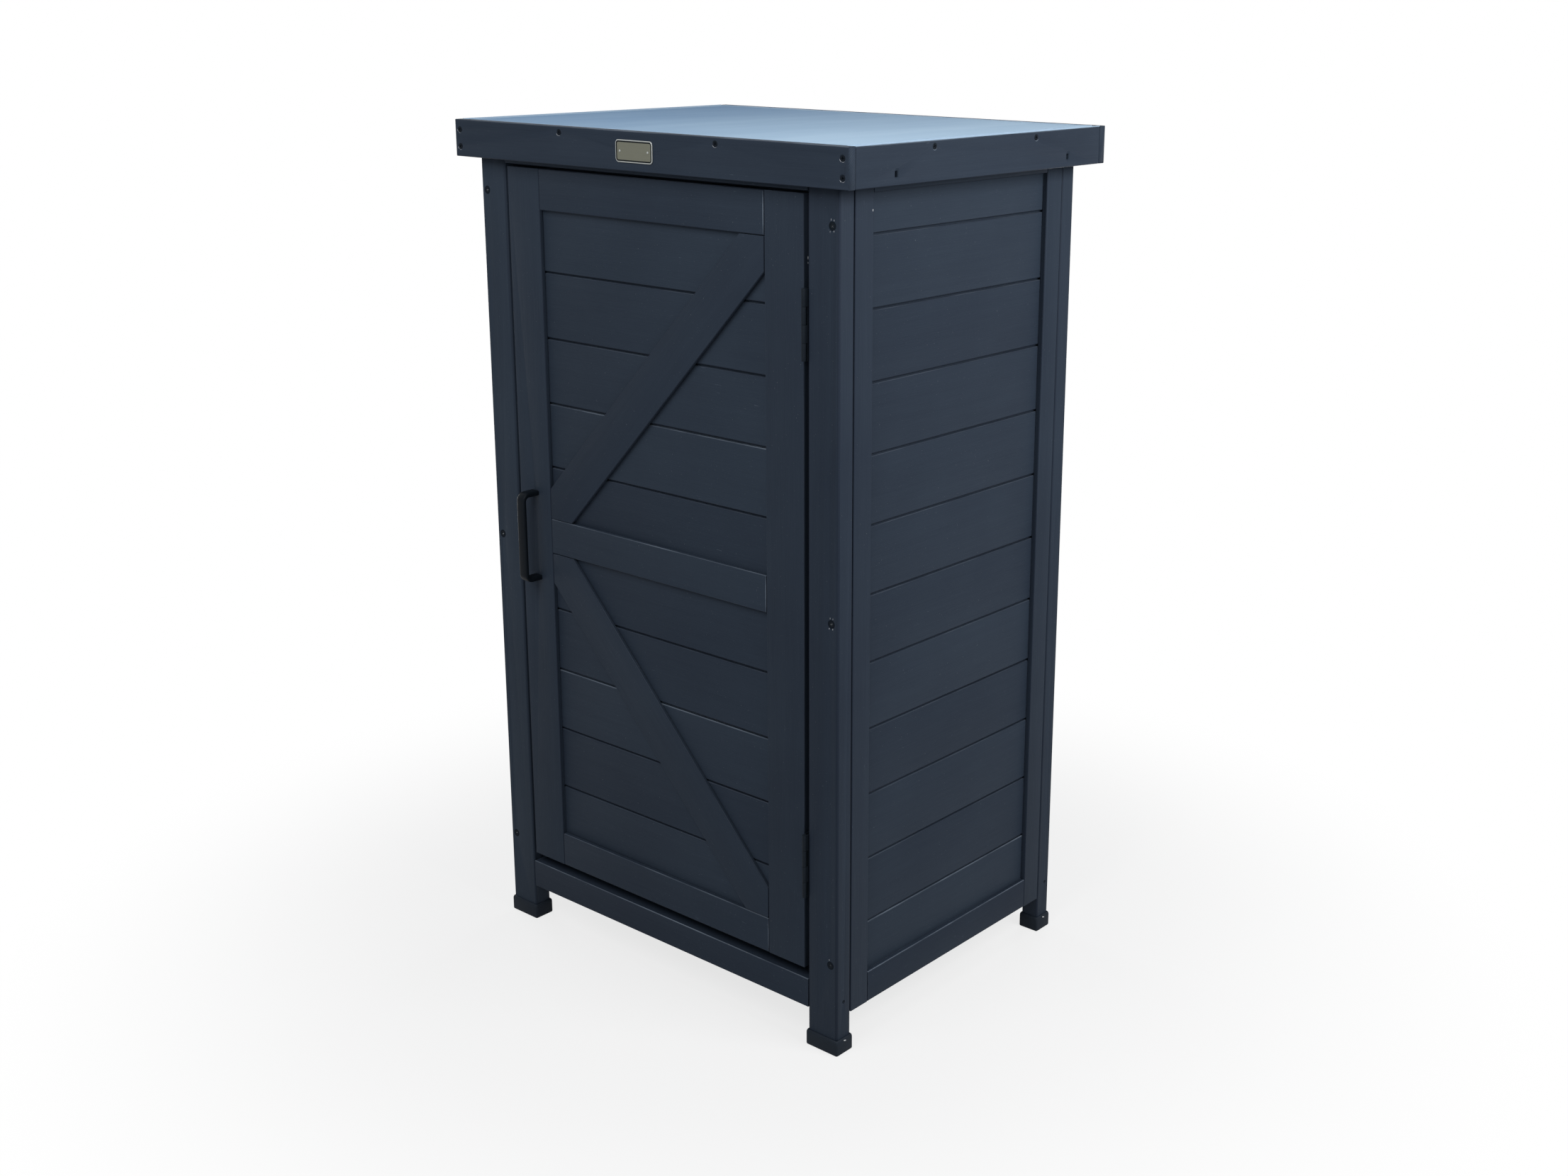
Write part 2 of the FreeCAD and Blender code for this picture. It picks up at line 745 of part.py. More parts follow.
def plate_pins():
    """Two pins through the plate into the fascia."""
    sizes = (plate_pin_head_radius, plate_pin_head, plate_pin_radius, plate_pin_length)
    places = [V(x, plate_y[0], plate_middle) for x in span(0.0, plate_pin_spacing)]
    return [flat_headed(place, V(0, 1, 0), *sizes) for place in places]


def rail_nails():
    """One nail through each post into the end of the lower rail beside it."""
    makers = []
    z = sill_rail_underside + sill_rail_height / 2
    rows = ((front_post_width, front_y + post_depth / 2), (rear_post_width, back_y - panel_thickness / 2))
    for width, y in rows:
        for sign in (-1, 1):
            makers.append(nail(V(sign * half_width, y, z), V(-sign, 0, 0), width + nail_bite))
    return makers


def fasten(name, makers, hosts):
    """Adds a node of fasteners and cuts their holes in the pieces that they hold together."""
    nodes[name] = group([make(0.0) for make in makers])
    holes = group([make(screw_clearance) for make in makers])
    for host in hosts:
        nodes[host] = nodes[host].cut(holes)


for place, direction in fixing_places():
    fascia = "roof_fascia_left" if place.x < 0 else "roof_fascia_right"
    nodes[fascia] = nodes[fascia].cut(fixing_slot(place, direction))

sides = ("left", "right")
posts = [f"{row}_post_{side}" for row in post_widths for side in sides]
panel_stiles = [f"{side}_panel_{row}_stile" for row in post_widths for side in sides]
panel_top_rails = [f"{side}_panel_top_rail" for side in sides]
fascias = [f"roof_fascia_{side}" for side in ("front", "back", "left", "right")]
roof_hosts = fascias + ["roof_deck", "roof_battens"] + panel_stiles + panel_top_rails
post_leaves = ["hinge_post_leaf_lower", "hinge_post_leaf_upper"]
door_leaves = ["hinge_door_leaf_lower", "hinge_door_leaf_upper"]
fasten("carcass_screws", carcass_screws(), posts + panel_stiles)
fasten("roof_screws", deck_screws() + fixing_screws(), roof_hosts)
fasten("hinge_post_screws", hinge_screws(1), post_leaves + ["front_post_right"])
fasten("hinge_door_screws", hinge_screws(-1), door_leaves + ["door_hinge_stile"])
fasten("handle_screws", handle_screws(), ["door_handle_stile", "door_handle"])
fasten("name_plate_pins", plate_pins(), ["name_plate", "roof_fascia_front"])
fasten("rail_nails", rail_nails(), posts + ["sill_rail", "back_panel_stiles"])


# One file for each node

os.makedirs("parts", exist_ok=True)
for name, body in nodes.items():
    body.exportStep(os.path.join("parts", name + ".step"))
print(len(nodes), "nodes,", sum(len(body.Solids) for body in nodes.values()), "solids")
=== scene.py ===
# %% [markdown]
# # A garden storage cabinet, dressed for its portrait
# The cabinet arrives as a packed set of solids in metres, each already in its place. This lesson gives those
# solids their looks: rounded timber edges under worn slate paint, a pale roof sheet, black iron and plastic.

# %% Load the cabinet and keep its size
import json
import math
import bmesh
import bpy
import numpy as np
from mathutils import Matrix, Vector


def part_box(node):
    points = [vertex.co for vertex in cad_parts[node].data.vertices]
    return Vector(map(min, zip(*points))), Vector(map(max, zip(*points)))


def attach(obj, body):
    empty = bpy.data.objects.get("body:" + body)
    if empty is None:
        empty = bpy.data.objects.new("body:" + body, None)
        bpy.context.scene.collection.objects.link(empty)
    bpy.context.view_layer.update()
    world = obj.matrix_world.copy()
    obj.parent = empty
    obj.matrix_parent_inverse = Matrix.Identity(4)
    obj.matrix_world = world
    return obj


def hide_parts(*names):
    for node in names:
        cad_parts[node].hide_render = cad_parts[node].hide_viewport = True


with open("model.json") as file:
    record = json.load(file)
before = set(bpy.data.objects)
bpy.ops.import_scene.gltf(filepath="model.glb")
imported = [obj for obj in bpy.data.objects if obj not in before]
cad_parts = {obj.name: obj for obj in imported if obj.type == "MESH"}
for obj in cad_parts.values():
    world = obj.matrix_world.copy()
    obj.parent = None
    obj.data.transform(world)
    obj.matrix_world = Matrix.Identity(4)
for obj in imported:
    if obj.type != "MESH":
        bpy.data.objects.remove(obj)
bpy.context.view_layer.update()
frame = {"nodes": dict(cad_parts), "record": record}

mm = 0.001
scene = bpy.context.scene


def linked(name, data):
    """An object made from data and put in the scene."""
    made = bpy.data.objects.new(name, data)
    scene.collection.objects.link(made)
    return made


# %% [markdown]
# ## Camera
# The picture was taken from the right of the front, a little above the roof, with the upright edges almost
# parallel. A level camera with a shifted lens would do the same, but a large shift would push the cabinet
# out of every other view. So the camera is turned, dipped and rolled, and shifted only a little. Its numbers
# were fitted to points measured in the picture.

# %% Set up the camera
frame_width, focal_pixels = 2212, 2664.5
sensor_width = 36.0
shift_across, shift_up = -0.05, -0.04
camera_place = Vector((1.7500, -1.9116, 1.3360))
camera_turn, camera_dip, camera_roll = 0.6945, 0.2721, 0.0073

camera = linked("camera", bpy.data.cameras.new("camera"))
scene.camera = camera
camera.data.sensor_width = sensor_width
camera.data.lens = focal_pixels / frame_width * sensor_width
camera.data.shift_x, camera.data.shift_y = shift_across, shift_up
turn = Matrix.Rotation(camera_turn, 4, "Z")
dip = Matrix.Rotation(math.pi / 2 - camera_dip, 4, "X")
roll = Matrix.Rotation(camera_roll, 4, "Z")
camera.matrix_world = Matrix.Translation(camera_place) @ turn @ dip @ roll
print("lens in millimetres:", round(camera.data.lens, 2))

# %% [markdown]
# ## Writing shader maths as sums
# A finish is a small network of nodes. Placing nodes one by one hides the idea, so a wire through the
# network is wrapped in a class: adding or multiplying wires adds the Math nodes, and one method makes any
# other node.

# %% A wire
class Wire:
    """A value in a finish. Sums, differences and products of wires become Math nodes."""

    def __init__(self, finish, socket):
        self.finish, self.socket = finish, socket

    def __add__(self, other):
        return self.finish.math("ADD", self, other)

    def __sub__(self, other):
        return self.finish.math("SUBTRACT", self, other)

    def __rsub__(self, other):
        return self.finish.math("SUBTRACT", other, self)

    def __mul__(self, other):
        return self.finish.math("MULTIPLY", self, other)

    __radd__, __rmul__ = __add__, __mul__

    def between(self, low, high):
        """0 below the low value, 1 above the high one and a smooth rise between them."""
        settings = {"interpolation_type": "SMOOTHSTEP"}
        return self.finish.node("MapRange", settings, {"Value": self, "From Min": low, "From Max": high})


# %% A finish
class Finish:
    """The nodes of a material or of the world."""

    def __init__(self, holder):
        holder.use_nodes = True
        self.holder = holder
        self.nodes, self.links = holder.node_tree.nodes, holder.node_tree.links
        self.nodes.clear()

    def node(self, kind, settings, values, output=0):
        """A node of a kind. Its settings come first, then the numbers or wires of its sockets."""
        made = self.nodes.new("ShaderNode" + kind)
        for key, setting in settings.items():
            setattr(made, key, setting)
        for key, value in values.items():
            if isinstance(value, Wire):
                self.links.new(value.socket, made.inputs[key])
            else:
                made.inputs[key].default_value = value
        return Wire(self, made.outputs[output]) if made.outputs else None

    def math(self, operation, *terms):
        """One step of arithmetic on wires and numbers."""
        return self.node("Math", {"operation": operation}, dict(enumerate(terms)))

    def place(self, attribute=None):
        """Where a point lies: on the object, or along, across and into the piece by an attribute."""
        if attribute is None:
            return self.node("TexCoord", {}, {}, "Object")
        return self.node("Attribute", {"attribute_name": attribute}, {}, "Vector")

    def number(self, attribute):
        """A number that the mesh carries."""
        return self.node("Attribute", {"attribute_name": attribute}, {}, "Fac")

    def part(self, vector, axis):
        """One of the three numbers of a vector."""
        return self.node("SeparateXYZ", {}, {0: vector}, axis)

    def noise(self, place, scale, detail=2.0, roughness=0.5, distortion=0.0):
        """Cloudy noise about 0.5. Its scale in waves per metre is one number or one for each direction."""
        stretched = self.node("Mapping", {}, {"Vector": place, "Scale": tuple(np.broadcast_to(scale, 3))})
        values = {"Vector": stretched, "Scale": 1.0, "Detail": detail, "Roughness": roughness}
        values["Distortion"] = distortion
        return self.node("TexNoise", {}, values)

    def mix(self, factor, first, second):
        """One colour where the factor is 0 and another where it is 1."""
        settings = {"data_type": "RGBA", "clamp_factor": True}
        return self.node("Mix", settings, {0: factor, 6: first, 7: second}, 2)

    def bump(self, height, depth, normal=None):
        """A surface raised by a height from 0 to 1 times a depth in metres."""
        values = {"Height": height, "Distance": depth, "Strength": 1.0}
        if normal is not None:
            values["Normal"] = normal
        return self.node("Bump", {}, values)

    def ray(self, kind):
        """1 for rays of a kind, such as Camera, and 0 for others."""
        return self.node("LightPath", {}, {}, f"Is {kind} Ray")

    def seen_white(self):
        """1 for the rays that see plain white: those of the camera, of gloss and through glass."""
        return self.ray("Camera") + self.ray("Glossy") + self.ray("Transmission")

    def surface(self, **values):
        """Ends the finish with a Principled surface."""
        named = {key.replace("_", " "): value for key, value in values.items()}
        shader = self.node("BsdfPrincipled", {}, named)
        self.node("OutputMaterial", {}, {"Surface": shader})
        return self.holder


# %% [markdown]
# ## Painted timber
# The real boards are softwood under thin slate-blue paint. The grain still shows as fine ridges and soft
# stripes, and every board took the paint a little differently. Edges that look up are painted lighter, partly
# rubbed paint and partly a painted highlight, and the rounded edges are painted darker, a painted shade. A
# picture of wood would repeat, so noise stretched along the grain draws it. It reads a grain attribute,
# which turns with each board, and a tone of the board's own. A sawn end shows growth rings too: circles
# about a middle, where the sine of the distance is the ring.

# %% Colours of the paint
def colour(red, green, blue):
    """A screen colour from 0 to 255 as the linear colour that renders so."""
    linear = []
    for part in (red, green, blue):
        share = part / 255
        linear.append(share / 12.92 if share <= 0.04045 else ((share + 0.055) / 1.055) ** 2.4)
    return (*linear, 1.0)


paint_deep = colour(31, 38, 49)
paint_full = colour(44, 53, 64)
# Pale paint for scuffs, specks and rubbed edges, and for the painted highlight on edges that look up.
chalk_and_highlight = colour(112, 122, 134)
bare_wood = colour(140, 138, 132)
print("full paint, linear:", [round(part, 4) for part in paint_full[:3]])

# %% Rings, rubbed edges and painted highlights
ring_spacing = 2.4 * mm
ring_field = 60 * mm


def growth_rings(finish, grain, drift):
    """The sine of the distance from the middle of a log. The middles repeat across the grain."""
    across = finish.math("WRAP", finish.part(grain, "Y"), ring_field, -ring_field)
    into = finish.math("WRAP", finish.part(grain, "Z"), ring_field, -ring_field)
    distance = finish.math("SQRT", across * across + into * into)
    return finish.math("SINE", distance * (2 * math.pi / ring_spacing) + drift)


def edge_wear_and_highlight(finish, grain):
    """How light the paint of an edge is, partly rubbed paint and partly a painted highlight: much where it
    looks up, little where it is upright and none where it looks down."""
    height = finish.part(finish.node("NewGeometry", {}, {}, "True Normal"), "Z")
    patches = finish.noise(grain, (9.0, 60.0, 60.0), 3.0, 0.6).between(0.35, 0.65)
    worn_and_lit = finish.number("worn_and_lit")
    # Edges that look up, and worn upright edges, are painted lighter: rubbed paint and a painted highlight.
    upright = worn_and_lit * 0.4 * (1 - (height * -1.0).between(0.1, 0.5))
    return (upright + height.between(0.2, 0.9) * (0.18 + worn_and_lit * 1.6)) * (0.25 + 0.75 * patches)


# %% Mix the paint
def painted(name, rings=0.0, edge=False):
    """Slate paint over softwood grain. Rings is how clearly the growth rings of a sawn end show. An edge has
    darker paint, a painted shade, and is painted lighter where it looks up: rubbed paint and a painted
    highlight."""
    finish = Finish(bpy.data.materials.new(name))
    place, grain, tone = finish.place(), finish.place("grain"), finish.number("tone")
    stripes = finish.noise(grain, (2.5, 90.0, 90.0), 4.0, 0.6, 0.4)
    pores = finish.noise(grain, (14.0, 900.0, 900.0), 3.0, 0.65)
    clouds = finish.noise(place, 5.0, 3.0, 0.55)
    scuffs = finish.noise(grain, (45.0, 420.0, 420.0), 4.0, 0.7).between(0.66, 0.74)
    specks = finish.noise(place, 520.0, 2.0, 0.6).between(0.72, 0.78)
    depth = stripes * 0.3 + pores * 0.35 + clouds * 0.7 + tone * 0.18 - 0.18
    if rings:
        depth = depth + rings * growth_rings(finish, grain, stripes * 9.0)
    wear_and_highlight = scuffs * clouds.between(0.45, 0.7) * 0.3 + specks * 0.2
    chips = specks * 0.15
    if edge:
        # Edges are painted darker, a painted shade, and lighter where they look up: rubbed paint and a
        # painted highlight.
        depth = depth - 0.35
        rubbed_and_lit = edge_wear_and_highlight(finish, grain)
        wear_and_highlight = wear_and_highlight + rubbed_and_lit
        chips = finish.noise(place, 160.0, 3.0, 0.6).between(0.68, 0.74) * rubbed_and_lit
    body = finish.mix(depth, paint_deep, paint_full)
    shade = finish.mix(chips, finish.mix(wear_and_highlight, body, chalk_and_highlight), bare_wood)
    ridges = finish.bump(pores * 0.8 + stripes * 0.2, 0.18 * mm)
    dents = finish.bump(clouds, 0.4 * mm, ridges)
    gloss = 0.62 - pores * 0.12 + wear_and_highlight * 0.2
    return finish.surface(Base_Color=shade, Roughness=gloss, Normal=dents, Specular_IOR_Level=0.05)


timber_face = painted("painted_timber_face")
timber_end = painted("painted_timber_end", rings=0.35)
timber_edge = painted("painted_timber_edge", edge=True)
print("timber finishes:", timber_face.name, timber_end.name, timber_edge.name)

# %% [markdown]
# ## Reading the solids
# The solids have the joiner's outlines, with rebates, holes and slots, so none of it is modelled again. A
# copy of each is merged from its loose triangles and its flat faces are made whole. Arrays of its corners
# and edges then tell which corners belong to one board, and where its longest edge runs: along the grain.

# %% Read a node
chance = np.random.default_rng(11)
weld = 0.002 * mm
flat_angle = math.radians(0.6)
bodies = frame["record"]["behaviour"]["bodies"]
slots = {entry["node"]: entry["material_slot"] for entry in frame["record"]["subparts"]}


def body_with(node):
    """The body that a node moves with."""
    return next(body for body, members in bodies.items() if node in members)


def box(node):
    """The lower and the upper corner of a node's box."""
    return np.array(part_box(node))


def merged(node):
    """A copy of a node's mesh with its loose triangles joined and its flat faces made whole."""
    work = bmesh.new()
    work.from_mesh(frame["nodes"][node].data)
    bmesh.ops.remove_doubles(work, verts=work.verts, dist=weld)
    bmesh.ops.dissolve_limit(work, angle_limit=flat_angle, verts=work.verts, edges=work.edges)
    mesh = bpy.data.meshes.new(node)
    work.to_mesh(mesh)
    work.free()
    return mesh


# %% Read a mesh as arrays
def numbers(items, field, width, kind=float):
    """A field of all items of a mesh as an array with a row for each."""
    flat = np.empty(len(items) * width, kind)
    items.foreach_get(field, flat)
    return flat.reshape(-1, width) if width > 1 else flat


def parts_of(mesh):
    """The corners' places, the two corners of each edge, and a number for each corner that all corners of
    one solid share: the lowest number spreads along edges."""
    places, ends = numbers(mesh.vertices, "co", 3), numbers(mesh.edges, "vertices", 2, int)
    label = np.arange(len(places))
    while True:
        lowest = label.copy()
        np.minimum.at(lowest, ends[:, 0], label[ends[:, 1]])
        np.minimum.at(lowest, ends[:, 1], label[ends[:, 0]])
        lowest = lowest[lowest]
        if (lowest == label).all():
            return places, ends, label
        label = lowest


def solids_in(node):
    """The corners of each separate solid of a node."""
    mesh = merged(node)
    places, _, label = parts_of(mesh)
    bpy.data.meshes.remove(mesh)
    return [places[label == number] for number in np.unique(label)]


# %% [markdown]
# ## Reading the screws
# Each screw, nail and pin is a plain turned solid. Its axis is its longest side, and its head is the wide
# end. The pairs of depth and radius, read from the face inwards, are the outline that a finer piece will
# follow.

# %% Read a fastener
class Fastener:
    """A screw, nail or pin along one axis of the frame. Where both ends are alike, its face is the end
    further from the frame's origin."""

    def __init__(self, corners):
        low, high = corners.min(axis=0), corners.max(axis=0)
        axis = int(np.argmax(high - low))
        middle = (low + high) / 2
        radius = np.linalg.norm(np.delete(corners - middle, axis, axis=1), axis=1)
        at_low = radius[corners[:, axis] < low[axis] + weld].max()
        at_high = radius[corners[:, axis] > high[axis] - weld].max()
        head_low = at_low > at_high + weld or (abs(at_low - at_high) <= weld and middle[axis] < 0)
        self.inward = np.eye(3)[axis] * (1 if head_low else -1)
        self.face = middle.copy()
        self.face[axis] = low[axis] if head_low else high[axis]
        depth = np.abs(corners[:, axis] - self.face[axis])
        step = 0.01 * mm
        pairs = np.unique(np.round(np.stack([depth, -radius], axis=1) / step), axis=0) * step
        self.depths, self.radii = pairs[:, 0], -pairs[:, 1]

    @property
    def head(self):
        return self.radii[0]


fastener_nodes = ("carcass_screws", "roof_screws", "rail_nails", "hinge_post_screws", "hinge_door_screws",
                  "handle_screws", "name_plate_pins", "hinge_pins")
fasteners = {node: [Fastener(corners) for corners in solids_in(node)] for node in fastener_nodes}
print("fasteners:", {node: len(found) for node, found in fasteners.items()})

# %% [markdown]
# ## Rounding the timber
# A narrow bevel rounds every edge so that it catches the light, and the rounded faces take the edge finish:
# paint that is darker, a painted shade, and lighter where it looks up, as rubbed paint and a painted
# highlight.
# So do the very narrow faces, which are planed eases. The long edges of the front and back fascias are
# rounder, and a weight on each edge tells the bevel so. A face that looks along the grain is a sawn end.
# No joint of real boards is quite closed, so each board shrinks about its middle and leaves a dark hairline.
# Chance gives each board its tone, and boards of a high tone more wear and a stronger painted highlight on
# their edges. A table sets some pieces apart, and its tones are partly painted shade and light.

# %% Grain of the boards
def carry(mesh, name, values):
    """Stores a number or a vector for each corner of a mesh under a name."""
    kind, field = ("FLOAT_VECTOR", "vector") if values.ndim > 1 else ("FLOAT", "value")
    layer = mesh.attributes.new(name, kind, "POINT")
    layer.data.foreach_set(field, values.astype(np.float32).ravel())


def grain_of(mesh):
    """Grain, tone and direction at each corner. A board's grain runs along its longest edge, and the three
    grain numbers are the distances along, across and into it, from a start of its own."""
    places, ends, label = parts_of(mesh)
    steps = places[ends[:, 1]] - places[ends[:, 0]]
    lengths = np.linalg.norm(steps, axis=1)
    grain, tone, direction = np.empty_like(places), np.empty(len(places)), np.empty_like(places)
    for number in np.unique(label):
        mine = label == number
        own_edges = label[ends[:, 0]] == number
        longest = np.argmax(np.where(own_edges, lengths, 0.0))
        along = steps[longest] / lengths[longest]
        thin = np.eye(3)[np.argmin(np.ptp(places[mine], axis=0))]
        across = np.cross(along, thin)
        across /= np.linalg.norm(across)
        axes = np.array([along, across, np.cross(along, across)])
        grain[mine] = places[mine] @ axes.T + chance.uniform(0, 20, 3)
        tone[mine] = chance.uniform(-1, 1)
        direction[mine] = along
    return grain, tone, direction


# %% Joints, faces and edges
edge_radius, fascia_radius, long_edge = 0.45 * mm, 2.4 * mm, 300 * mm
sharp_angle = math.radians(30)
narrow = 1.7 * mm
hairline = 0.35 * mm


def open_joints(mesh):
    """Each solid shrinks about its middle, so that each outer face moves in by a hairline: along each axis
    the share that stays is 1 less two hairlines over the size."""
    places, _, label = parts_of(mesh)
    low, high = np.full_like(places, np.inf), np.full_like(places, -np.inf)
    np.minimum.at(low, label, places)
    np.maximum.at(high, label, places)
    low, high = low[label], high[label]
    share = 1 - 2 * hairline / (high - low)
    places = (low + high) / 2 + (places - (low + high) / 2) * share
    mesh.vertices.foreach_set("co", places.ravel())


def timber_faces(mesh, direction):
    """A number for each face: 0 on a side of a board, 1 on a sawn end and 2 on a narrow ease. The width of a
    long face is twice its area over its perimeter."""
    starts = numbers(mesh.polygons, "loop_start", 1, int)
    corners, edges = numbers(mesh.loops, "vertex_index", 1, int), numbers(mesh.loops, "edge_index", 1, int)
    places, ends, _ = parts_of(mesh)
    lengths = np.linalg.norm(places[ends[:, 1]] - places[ends[:, 0]], axis=1)
    width = 2 * numbers(mesh.polygons, "area", 1) / np.add.reduceat(lengths[edges], starts)
    facing = np.abs(np.sum(numbers(mesh.polygons, "normal", 3) * direction[corners[starts]], axis=1))
    return np.where(width < narrow, 2, np.where(facing > 0.95, 1, 0))


def weigh_edges(mesh):
    """Long sharp edges take the bevel's full width, and short ones the share that leaves the usual
    radius."""
    work = bmesh.new()
    work.from_mesh(mesh)
    weight = work.edges.layers.float.new("bevel_weight_edge")
    for edge in work.edges:
        if edge.calc_face_angle(0.0) > sharp_angle:
            edge[weight] = 1.0 if edge.calc_length() > long_edge else edge_radius / fascia_radius
    work.to_mesh(mesh)
    work.free()


# %% Round a node
def dress(piece, node):
    """The piece stands for a node: it moves with the node's body, and the node is hidden."""
    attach(piece, body_with(node))
    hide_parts(node)


def rounded(node, name, radius, finishes, weighted=False):
    """A copy of a node with its sharp edges rounded. The last finish goes on the rounded faces, and a
    weighted bevel is wide on long edges only."""
    mesh = merged(node)
    mesh.name = name
    for finish in finishes:
        mesh.materials.append(finish)
    mesh.shade_smooth()
    if weighted:
        weigh_edges(mesh)
    piece = linked(name, mesh)
    bevel = piece.modifiers.new("rounding", "BEVEL")
    bevel.width, bevel.segments, bevel.angle_limit = radius, 2, sharp_angle
    bevel.limit_method = "WEIGHT" if weighted else "ANGLE"
    bevel.use_clamp_overlap, bevel.harden_normals = True, True
    bevel.material = len(finishes) - 1
    dress(piece, node)
    return mesh


# %% Round the timber
# The tones here are partly the paint's own and partly painted shade and light that darken or lighten single
# pieces, such as the side fascia darkened under the key lamp.
set_apart = {
    # node: tone that is added, partly painted shade and light; wear and painted highlight of the edges
    "roof_fascia_front": (0.0, 0.15), "roof_fascia_right": (-1.0, 0.15), "sill_rail": (-0.7, 0.3),
    "door_hinge_stile": (-0.8, 0.15), "door_handle_stile": (0.6, 0.0), "door_top_rail": (-1.2, 0.0),
    "door_mid_rail": (1.2, 0.3), "door_bottom_rail": (0.0, 0.2), "right_panel_bottom_rail": (-1.6, 0.25),
}
rubbed_and_lit_board, rubbed_and_lit_tone = 0.22, 0.45
timber_nodes = [node for node in frame["nodes"] if slots.get(node) == "painted_timber"]
for node in timber_nodes:
    soft = node in ("roof_fascia_front", "roof_fascia_back")
    radius = fascia_radius if soft else edge_radius
    mesh = rounded(node, node + "_painted", radius, [timber_face, timber_end, timber_edge], soft)
    open_joints(mesh)
    grain, tone, direction = grain_of(mesh)
    added_tone, wear_and_highlight = set_apart.get(node, (0.0, 0.0))
    # Boards of a high tone get more rubbed paint and a stronger painted highlight on their edges.
    rubbed_and_lit = ("boards" in node) & (tone > rubbed_and_lit_tone)
    carry(mesh, "grain", grain)
    carry(mesh, "tone", tone + added_tone)
    carry(mesh, "worn_and_lit", np.where(rubbed_and_lit, rubbed_and_lit_board, wear_and_highlight))
    mesh.polygons.foreach_set("material_index", timber_faces(mesh, direction).astype(np.int32))
print("timber pieces:", len(timber_nodes))

# %% [markdown]
# ## Fittings from grids
# The iron and plastic fittings are moulded, bent or turned, and a bevelled block would not have their
# curves. Each is a grid of points instead. A row is a closed ring round the piece, and the rows follow one
# another along it, from a pole at one end to a pole at the other. Two recipes make them all: rings of a
# rounded rectangle that are carried along a path, and circles that are stacked on an axis.

# %% From grids of points to a piece
crease = math.radians(35)


def points(x, y, z):
    """A grid of points from arrays or plain numbers for their three coordinates."""
    return np.stack(np.broadcast_arrays(x, y, z), axis=-1)


def spokes(turn, axis):
    """Directions at angles about an axis: the cosine times a side plus the sine times the side across it."""
    side = np.roll(axis, 1)
    return np.cos(turn)[:, None] * side + np.sin(turn)[:, None] * np.cross(axis, side)


def coat(mesh, finishes, which):
    """Gives a mesh its finishes, and each of its faces the number of one of them."""
    for finish in finishes:
        mesh.materials.append(finish)
    mesh.polygons.foreach_set("material_index", which.astype(np.int32))


def quads(rows, columns, closed=True):
    """The four corners of each face of a grid. The rows of a closed grid end where they begin."""
    number = np.arange(rows * columns).reshape(rows, columns)
    beside = np.roll(number, -1, axis=1)
    faces = np.stack([number[:-1], beside[:-1], beside[1:], number[1:]], axis=-1)
    return (faces if closed else faces[:, :-1]).reshape(-1, 4)


def fitting(name, shells, finishes):
    """A piece from closed shells. A shell is a grid of points (rows, columns, 3) and the number of the
    finish of each band between two rows, or one number for all. Poles are merged, and faces are turned
    outwards."""
    places, faces, bands, start = [], [], [], 0
    for grid, band in shells:
        rows, columns = grid.shape[:2]
        places.append(grid.reshape(-1, 3))
        faces.append(quads(rows, columns) + start)
        bands.append(np.repeat(np.broadcast_to(band, rows - 1), columns))
        start += rows * columns
    mesh = bpy.data.meshes.new(name)
    mesh.from_pydata(np.concatenate(places).tolist(), [], np.concatenate(faces).tolist())
    coat(mesh, finishes, np.concatenate(bands))
    work = bmesh.new()
    work.from_mesh(mesh)
    bmesh.ops.remove_doubles(work, verts=work.verts, dist=weld)
    bmesh.ops.recalc_face_normals(work, faces=work.faces)
    work.to_mesh(mesh)
    work.free()
    mesh.shade_smooth()
    mesh.set_sharp_from_angle(angle=crease)
    print(name, "faces:", len(mesh.polygons))
    return linked(name, mesh)


# %% A bar along a path
x_axis, y_axis, z_axis = np.eye(3)


def rounded_ring(half_width, half_height, radius, steps=4):
    """Points round a rectangle with rounded corners: each corner is a quarter circle about a point that lies
    radius inside both sides. The sizes may be lists, and then there is a ring for each entry."""
    corner = np.repeat(np.arange(4), steps)
    turn = (corner + np.tile(np.linspace(0, 1, steps), 4)) * np.pi / 2
    sign_across, sign_up = np.where((corner == 0) | (corner == 3), 1, -1), np.where(corner < 2, 1, -1)
    sizes = half_width, half_height, radius
    half_width, half_height, radius = (np.reshape(size, (-1, 1)) for size in sizes)
    across = sign_across * (half_width - radius) + radius * np.cos(turn)
    upward = sign_up * (half_height - radius) + radius * np.sin(turn)
    return across, upward


def bar_along(path, side, upward, half_width, half_height, radius):
    """A bar with a rounded rectangular section. At each point of the path the section lies along the vectors
    side and upward. The first and last points are also its poles."""
    across, high = rounded_ring(half_width, half_height, radius)
    side, upward = np.broadcast_to(side, path.shape), np.broadcast_to(upward, path.shape)
    rings = path[:, None] + across[..., None] * side[:, None] + high[..., None] * upward[:, None]
    poles = [np.broadcast_to(path[end], (1, rings.shape[1], 3)) for end in (0, -1)]
    return np.concatenate([poles[0], rings, poles[1]])


# %% [markdown]
# ## Finishes of the fittings
# Black paint on the handle and hinges has a fine skin that breaks up its shine, and the foot caps are duller
# plastic. Screws are dark, most of them bright in the cross where the driver has bared the steel. The
# plate's field is brushed lengthwise. One recipe serves them all: two colours mottled like clouds, a
# roughness and a relief.

